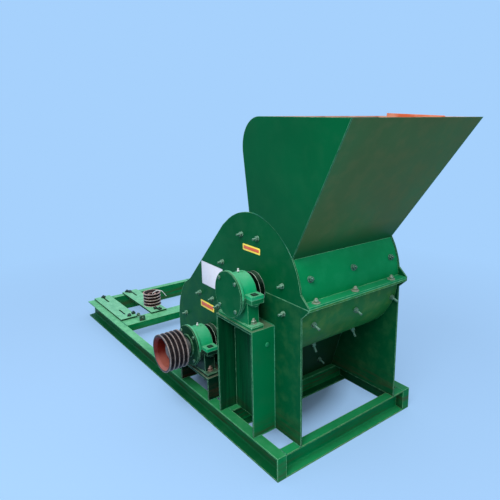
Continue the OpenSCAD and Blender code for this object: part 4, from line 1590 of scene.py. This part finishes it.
@dataclass
class HopperDetails:
    """The raised strip on the hopper's far rim, and the bolts at the foot of its back.

    Attributes:
        strip_t: Thickness of the strip in millimetres.
        strip_depth: How far it reaches down the wall, in millimetres.
        back_rise: How far the strip stands over the rim at its back end, in millimetres.
        front_rise: How far it stands over the rim at its front end, in millimetres.
        back_in: How far its back end lies inside the back wall's front and side, in millimetres.
        front_in: How far its front end lies inside the far wall's front and side, in millimetres.
        bolt_rows: Places of the back's foot bolts across the machine, in millimetres.
        bolt_up: Their height over the wall's foot in millimetres.
        bolt: The bolt with its washer.
    """

    strip_t: float = 4.0
    strip_depth: float = 42.0
    back_rise: float = 15.0
    front_rise: float = 4.0
    back_in: Pair = (-60.0, 7.0)
    front_in: Pair = (190.0, 18.0)
    bolt_rows: tuple[float, ...] = (-318, 0, 318)
    bolt_up: float = 46.0
    bolt: Fastener = Fastener(across=20, head_h=9, washer_d=26)

    def build(self) -> None:
        """Build the strip and the bolts."""
        self.strip()
        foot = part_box("hopper_back_wall")[0]
        Dress(Slot.HOPPER, DARK_BOLTS).copy_out(self.bolt.model(), {
            "hopper_back_bolts": [aimed((foot.x, across * MM, foot.z + self.bolt_up * MM), (-1, 0, 0), 15)
                                  for across in self.bolt_rows]})

    def strip(self) -> None:
        """Weld a primed flat bar inside the far rim, tapering towards the front."""
        back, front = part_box("hopper_back_wall")[1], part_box("hopper_far_wall")[1]
        start, end = (Vector((top.x - along * MM, top.y - aside * MM, front.z))
                      for top, (along, aside) in ((back, self.back_in), (front, self.front_in)))
        way = end - start
        height = (self.strip_depth + self.front_rise) * MM
        bar = new_block((way.length, self.strip_t * MM, height), (0, 0, self.front_rise * MM - height / 2))
        pick(bar, Pick.EDGE, lambda edge: all(corner.co.z > 0 > corner.co.x for corner in edge.verts))
        bpy.ops.transform.translate(value=(0, 0, (self.back_rise - self.front_rise) * MM))
        bpy.ops.object.mode_set(mode="OBJECT")
        turn = Matrix.Rotation(math.atan2(way.y, way.x), 4, "Z")
        bar.data.transform(Matrix.Translation((start + end) / 2) @ turn)
        soften(bar, 0.8)
        Dress(Slot.HOPPER, OXIDE_STRIP).put_on(bar, "far_rim_strip")


@dataclass
class PulleyKey:
    """The key that holds a pulley on its shaft.

    Attributes:
        pulley: The pulley's node.
        body: The rotor's body.
        side: Side on which the pulley's face looks out.
        key_w: Width of the key in millimetres.
        key_l: Length of what shows of it, in millimetres.
        key_h: Its height in millimetres.
        seat_r: Distance of its middle from the axis, in millimetres.
    """

    pulley: str
    body: Body
    side: Side
    key_w: float = 16.0
    key_l: float = 10.0
    key_h: float = 11.0
    seat_r: float = 37.5

    def build(self) -> None:
        """Drive the key in beside the shaft's end."""
        axis = centre_of(self.pulley)
        way = self.side.value
        shaft_end = way * max(way * corner.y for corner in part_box(f"{self.pulley.split('_')[0]}_shaft"))
        length = self.key_l * MM
        key = new_block((self.key_w * MM, length, self.key_h * MM),
                        (axis.x, shaft_end + way * (length / 2 - BITE), axis.z + self.seat_r * MM))
        pick(key, Pick.FACE, lambda face: face.normal.y * way > 0.9)
        bpy.ops.mesh.inset(thickness=1.5 * MM, depth=1.2 * MM)
        bpy.ops.object.mode_set(mode="OBJECT")
        Dress(Slot.SHAFT, THREAD_STEEL, self.body).put_on(key, f"{self.pulley}_key")


# ---------- dressing the frame ----------


def pulley_iron(node: str) -> CastIron:
    """Give the cast iron of a pulley on a shaft, its patterns about its own axis.

    Args:
        node: The pulley's node.

    Returns:
        The finish.
    """
    axis = centre_of(node)
    low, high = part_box(node)
    rim = (high.z - low.z) / 2 / MM
    face = low.y if low.y < 0 else high.y
    return CastIron(f"{node}_cast_iron", axis=(axis.x, axis.z), rim_r=rim, dish_r=rim - 25, face_y=face)


def loose_pulley_iron() -> CastIron:
    """Give the rusted cast iron of the loose motor pulley, which lies on its side.

    Returns:
        The finish.
    """
    axis = centre_of("motor_pulley")
    low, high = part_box("motor_pulley")
    return CastIron("loose_pulley_cast_iron", iron="2b1a18", land="eed6cd", axis=(axis.x, axis.y), flat=True,
                    rim_r=(high.x - low.x) / 2 / MM, dusty=0.85)


def pedestal_enamel() -> Enamel:
    """Give the tall pedestals' enamel, with streaks of painted shade between their cheeks.

    Returns:
        The finish.
    """
    low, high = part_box("upper_near_pedestal")
    skin = 2 * MM
    return replace(PEDESTAL_ENAMEL, sheltered=(low.x + skin, high.x - skin))


def finish_of(node: str, finishes: dict[str, Finish]) -> Finish:
    """Choose a node's finish by the longest word of the list that its name holds.

    Args:
        node: The node's name.
        finishes: Finishes, by words of the nodes' names.

    Returns:
        The finish.
    """
    words = [word for word in finishes if word in node]
    if not words:
        raise ValueError(f"node without a finish: {node}")
    return finishes[max(words, key=len)]


def dress_frame() -> None:
    """Give every node of the frame its finish."""
    finishes: dict[str, Finish] = {
        "channel": SKID_ENAMEL, "beam": SKID_ENAMEL, "front_cross_channel": FRONT_SKID_ENAMEL,
        "motor_rail": RAIL_ENAMEL, "upper_side_plate": CASING_ENAMEL, "lower_side_plate": LOWER_CASING_ENAMEL,
        "rear_upper_shell": CASING_ENAMEL, "rear_lower_shell": LOWER_CASING_ENAMEL,
        "front_upper_shell": SHELL_ENAMEL, "front_lower_shell": LOWER_SHELL_ENAMEL,
        "hopper_near": HOPPER_NEAR_ENAMEL, "hopper_far": HOPPER_FAR_ENAMEL,
        "hopper_front": SHADED_HOPPER_FRONT_ENAMEL, "hopper_back": HOPPER_BACK_ENAMEL,
        "pedestal": pedestal_enamel(), "lower_near_pedestal": SHADED_LOW_PEDESTAL_ENAMEL,
        "lower_far_pedestal": SHADED_LOW_PEDESTAL_ENAMEL, "bearing_cap": CAP_ENAMEL, "bearing_base": BASE_ENAMEL,
        "lower_near_bearing_base": SHADED_LOW_BASE_ENAMEL, "lower_far_bearing_base": SHADED_LOW_BASE_ENAMEL,
        "bearing_covers": COVER_ENAMEL, "shaft_seals": SHADED_SEAL_ENAMEL, "shaft": SHAFT_STEEL,
        "discs": ROTOR_STEEL, "hammers": HAMMER_STEEL, "motor_pulley": loose_pulley_iron()}
    for node in ("lower_near_pulley", "lower_far_pulley", "upper_pulley"):
        finishes[node] = pulley_iron(node)
    for node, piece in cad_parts.items():
        finish = finish_of(node, finishes)
        for slot in piece.material_slots:
            slot.material = finish.material()
        log.info("%s dressed in %s", node, finish.name)


# ---------- studio ----------


@dataclass(frozen=True)
class Studio:
    """Plain floor, soft lights and the camera.

    Attributes:
        camera_place: Place of the camera in metres.
        azimuth: Compass angle of the view in degrees, 0 looking along +Y.
        elevation: How far the camera looks down, in degrees.
        roll: Turn of the camera about its own axis, in degrees.
        lens: Focal length on a 36 mm sensor, in millimetres.
        shift: Shift of the frame, as parts of its width.
        floor_colour: Colour of the floor.
        backdrop: Colour of the backdrop.
        sky: Colour of the dome of light.
        lifted: How much of its own light the floor shows near the machine, so that shadows stay pale.
        fade: From and to which distance the floor fades into the backdrop, in metres.
        shade: From and to which distance the shadow under the lower chamber lifts, in metres.
        lamp_place: Place of the lamp in metres.
        lamp_aim: What the lamp looks at, in metres.
        lamp_watts: Its power.
        lamp_size: Its side in metres.
    """

    camera_place: tuple[float, float, float] = (2.718, -1.716, 1.684)
    azimuth: float = 49.69
    elevation: float = 13.3
    roll: float = 0.17
    lens: float = 36.2
    shift: Pair = (-0.0977, -0.0372)
    floor_colour: str = "9fc3ea"
    backdrop: str = "a6d1fd"
    sky: str = "f1f4f8"
    lifted: float = 0.5
    fade: Pair = (1.8, 3.6)
    shade: Pair = (0.42, 0.58)
    lamp_place: tuple[float, float, float] = (2.6, -2.8, 4.2)
    lamp_aim: tuple[float, float, float] = (0.2, 0, 0.6)
    lamp_watts: float = 190.0
    lamp_size: float = 2.6

    def build(self) -> None:
        """Set up the camera, the floor, the dome and the lamp."""
        self.set_camera()
        self.lay_floor()
        self.light_dome()
        self.hang_lamp()
        bpy.context.scene.view_settings.view_transform = "Standard"

    def set_camera(self) -> None:
        """Create the camera and make it the scene's own."""
        data = bpy.data.cameras.new("camera")
        data.lens = self.lens
        data.sensor_width = 36.0
        data.shift_x, data.shift_y = self.shift
        data.clip_end = 60.0
        camera = bpy.data.objects.new("camera", data)
        bpy.context.scene.collection.objects.link(camera)
        turn = Euler((math.radians(90 - self.elevation), 0, math.radians(self.azimuth))).to_matrix().to_4x4()
        roll = Matrix.Rotation(math.radians(self.roll), 4, "Z")
        camera.matrix_world = Matrix.Translation(self.camera_place) @ turn @ roll
        bpy.context.scene.camera = camera

    def lay_floor(self) -> None:
        """Lay a wide level floor that keeps the shadow near the machine and fades into the backdrop."""
        take()
        bpy.ops.mesh.primitive_plane_add(size=40.0, location=(0, 0, 0))
        floor = bpy.context.active_object
        floor.name = "studio_floor"
        material = bpy.data.materials.new("pale_studio_floor")
        material.use_nodes = True
        tree = material.node_tree
        shader = tree.nodes["Principled BSDF"]
        for name, value in (("Base Color", linear(self.floor_colour)), ("Roughness", 0.95),
                            ("Specular IOR Level", 0.1)):
            shader.inputs[name].default_value = value
        place = add_node(tree, "ShaderNodeTexCoord").outputs["Object"]
        # The shadow stays deep under the lower chamber, where little light comes
        chamber = add_node(tree, "ShaderNodeMapping", {"Vector": place,
                                                       "Location": (-centre_of("lower_shaft").x, 0, 0)})
        near, under = (add_node(tree, "ShaderNodeVectorMath", {0: about}, operation="LENGTH").outputs["Value"]
                       for about in (place, chamber))
        far = add_node(tree, "ShaderNodeMapRange", {"Value": near, "From Min": self.fade[0],
                                                    "From Max": self.fade[1], "To Min": self.lifted})
        open_floor = add_node(tree, "ShaderNodeMapRange", {"Value": under, "From Min": self.shade[0],
                                                           "From Max": self.shade[1]})
        lit = add_node(tree, "ShaderNodeMath", {0: far, 1: open_floor}, operation="MULTIPLY")
        eye = add_node(tree, "ShaderNodeLightPath").outputs["Is Camera Ray"]
        seen = add_node(tree, "ShaderNodeMath", {0: eye, 1: lit}, operation="MULTIPLY")
        glow = add_node(tree, "ShaderNodeEmission", {"Color": linear(self.backdrop), "Strength": 1.0})
        mixed = add_node(tree, "ShaderNodeMixShader", {0: seen, 1: shader, 2: glow})
        tree.links.new(mixed.outputs[0], tree.nodes["Material Output"].inputs["Surface"])
        floor.data.materials.append(material)

    def light_dome(self) -> None:
        """Set the dome of light, brighter overhead, behind the plain backdrop."""
        world = bpy.data.worlds.new("studio_world")
        bpy.context.scene.world = world
        world.use_nodes = True
        tree = world.node_tree
        dome = tree.nodes["Background"]
        way = add_node(tree, "ShaderNodeTexCoord").outputs["Generated"]
        height = add_node(tree, "ShaderNodeSeparateXYZ", {"Vector": way}).outputs["Z"]
        strength = add_node(tree, "ShaderNodeMapRange", {"Value": height, "From Min": -0.1, "From Max": 0.9,
                                                         "To Min": 0.35, "To Max": 1.05})
        dome.inputs["Color"].default_value = linear(self.sky)
        tree.links.new(strength.outputs["Result"], dome.inputs["Strength"])
        backdrop = add_node(tree, "ShaderNodeBackground", {"Color": linear(self.backdrop), "Strength": 1.0})
        path = add_node(tree, "ShaderNodeLightPath").outputs
        seen = path["Is Camera Ray"]
        for kind in ("Is Glossy Ray", "Is Transmission Ray"):
            seen = add_node(tree, "ShaderNodeMath", {0: seen, 1: path[kind]}, operation="MAXIMUM")
        mixed = add_node(tree, "ShaderNodeMixShader", {0: seen, 1: dome, 2: backdrop})
        tree.links.new(mixed.outputs[0], tree.nodes["World Output"].inputs["Surface"])

    def hang_lamp(self) -> None:
        """Hang one large soft lamp over the near side."""
        take()
        bpy.ops.object.light_add(type="AREA", location=self.lamp_place)
        lamp = bpy.context.active_object
        lamp.name = "soft_box"
        lamp.data.energy = self.lamp_watts
        lamp.data.size = self.lamp_size
        lamp.rotation_euler = (Vector(self.lamp_aim) - lamp.location).to_track_quat("-Z", "Y").to_euler()


def main() -> None:
    """Build the studio, dress the frame and build every sub-assembly in order."""
    logging.basicConfig(level=logging.INFO, format="%(message)s")
    Studio().build()
    dress_frame()
    bearings = [BearingHardware(level, side) for level in LEVELS for side in Side]
    keys = [PulleyKey("lower_near_pulley", Body.LOWER, Side.NEAR),
            PulleyKey("lower_far_pulley", Body.LOWER, Side.FAR),
            PulleyKey("upper_pulley", Body.UPPER, Side.FAR)]
    for assembly in (SideStuds(), ShellStuds(), JointBolts(), *bearings, BlankPlates(), Welds(),
                     MotorRailHardware(), HopperDetails(), *keys):
        assembly.build()
        log.info("%s built", type(assembly).__name__)


if __name__ == "__main__":
    main()
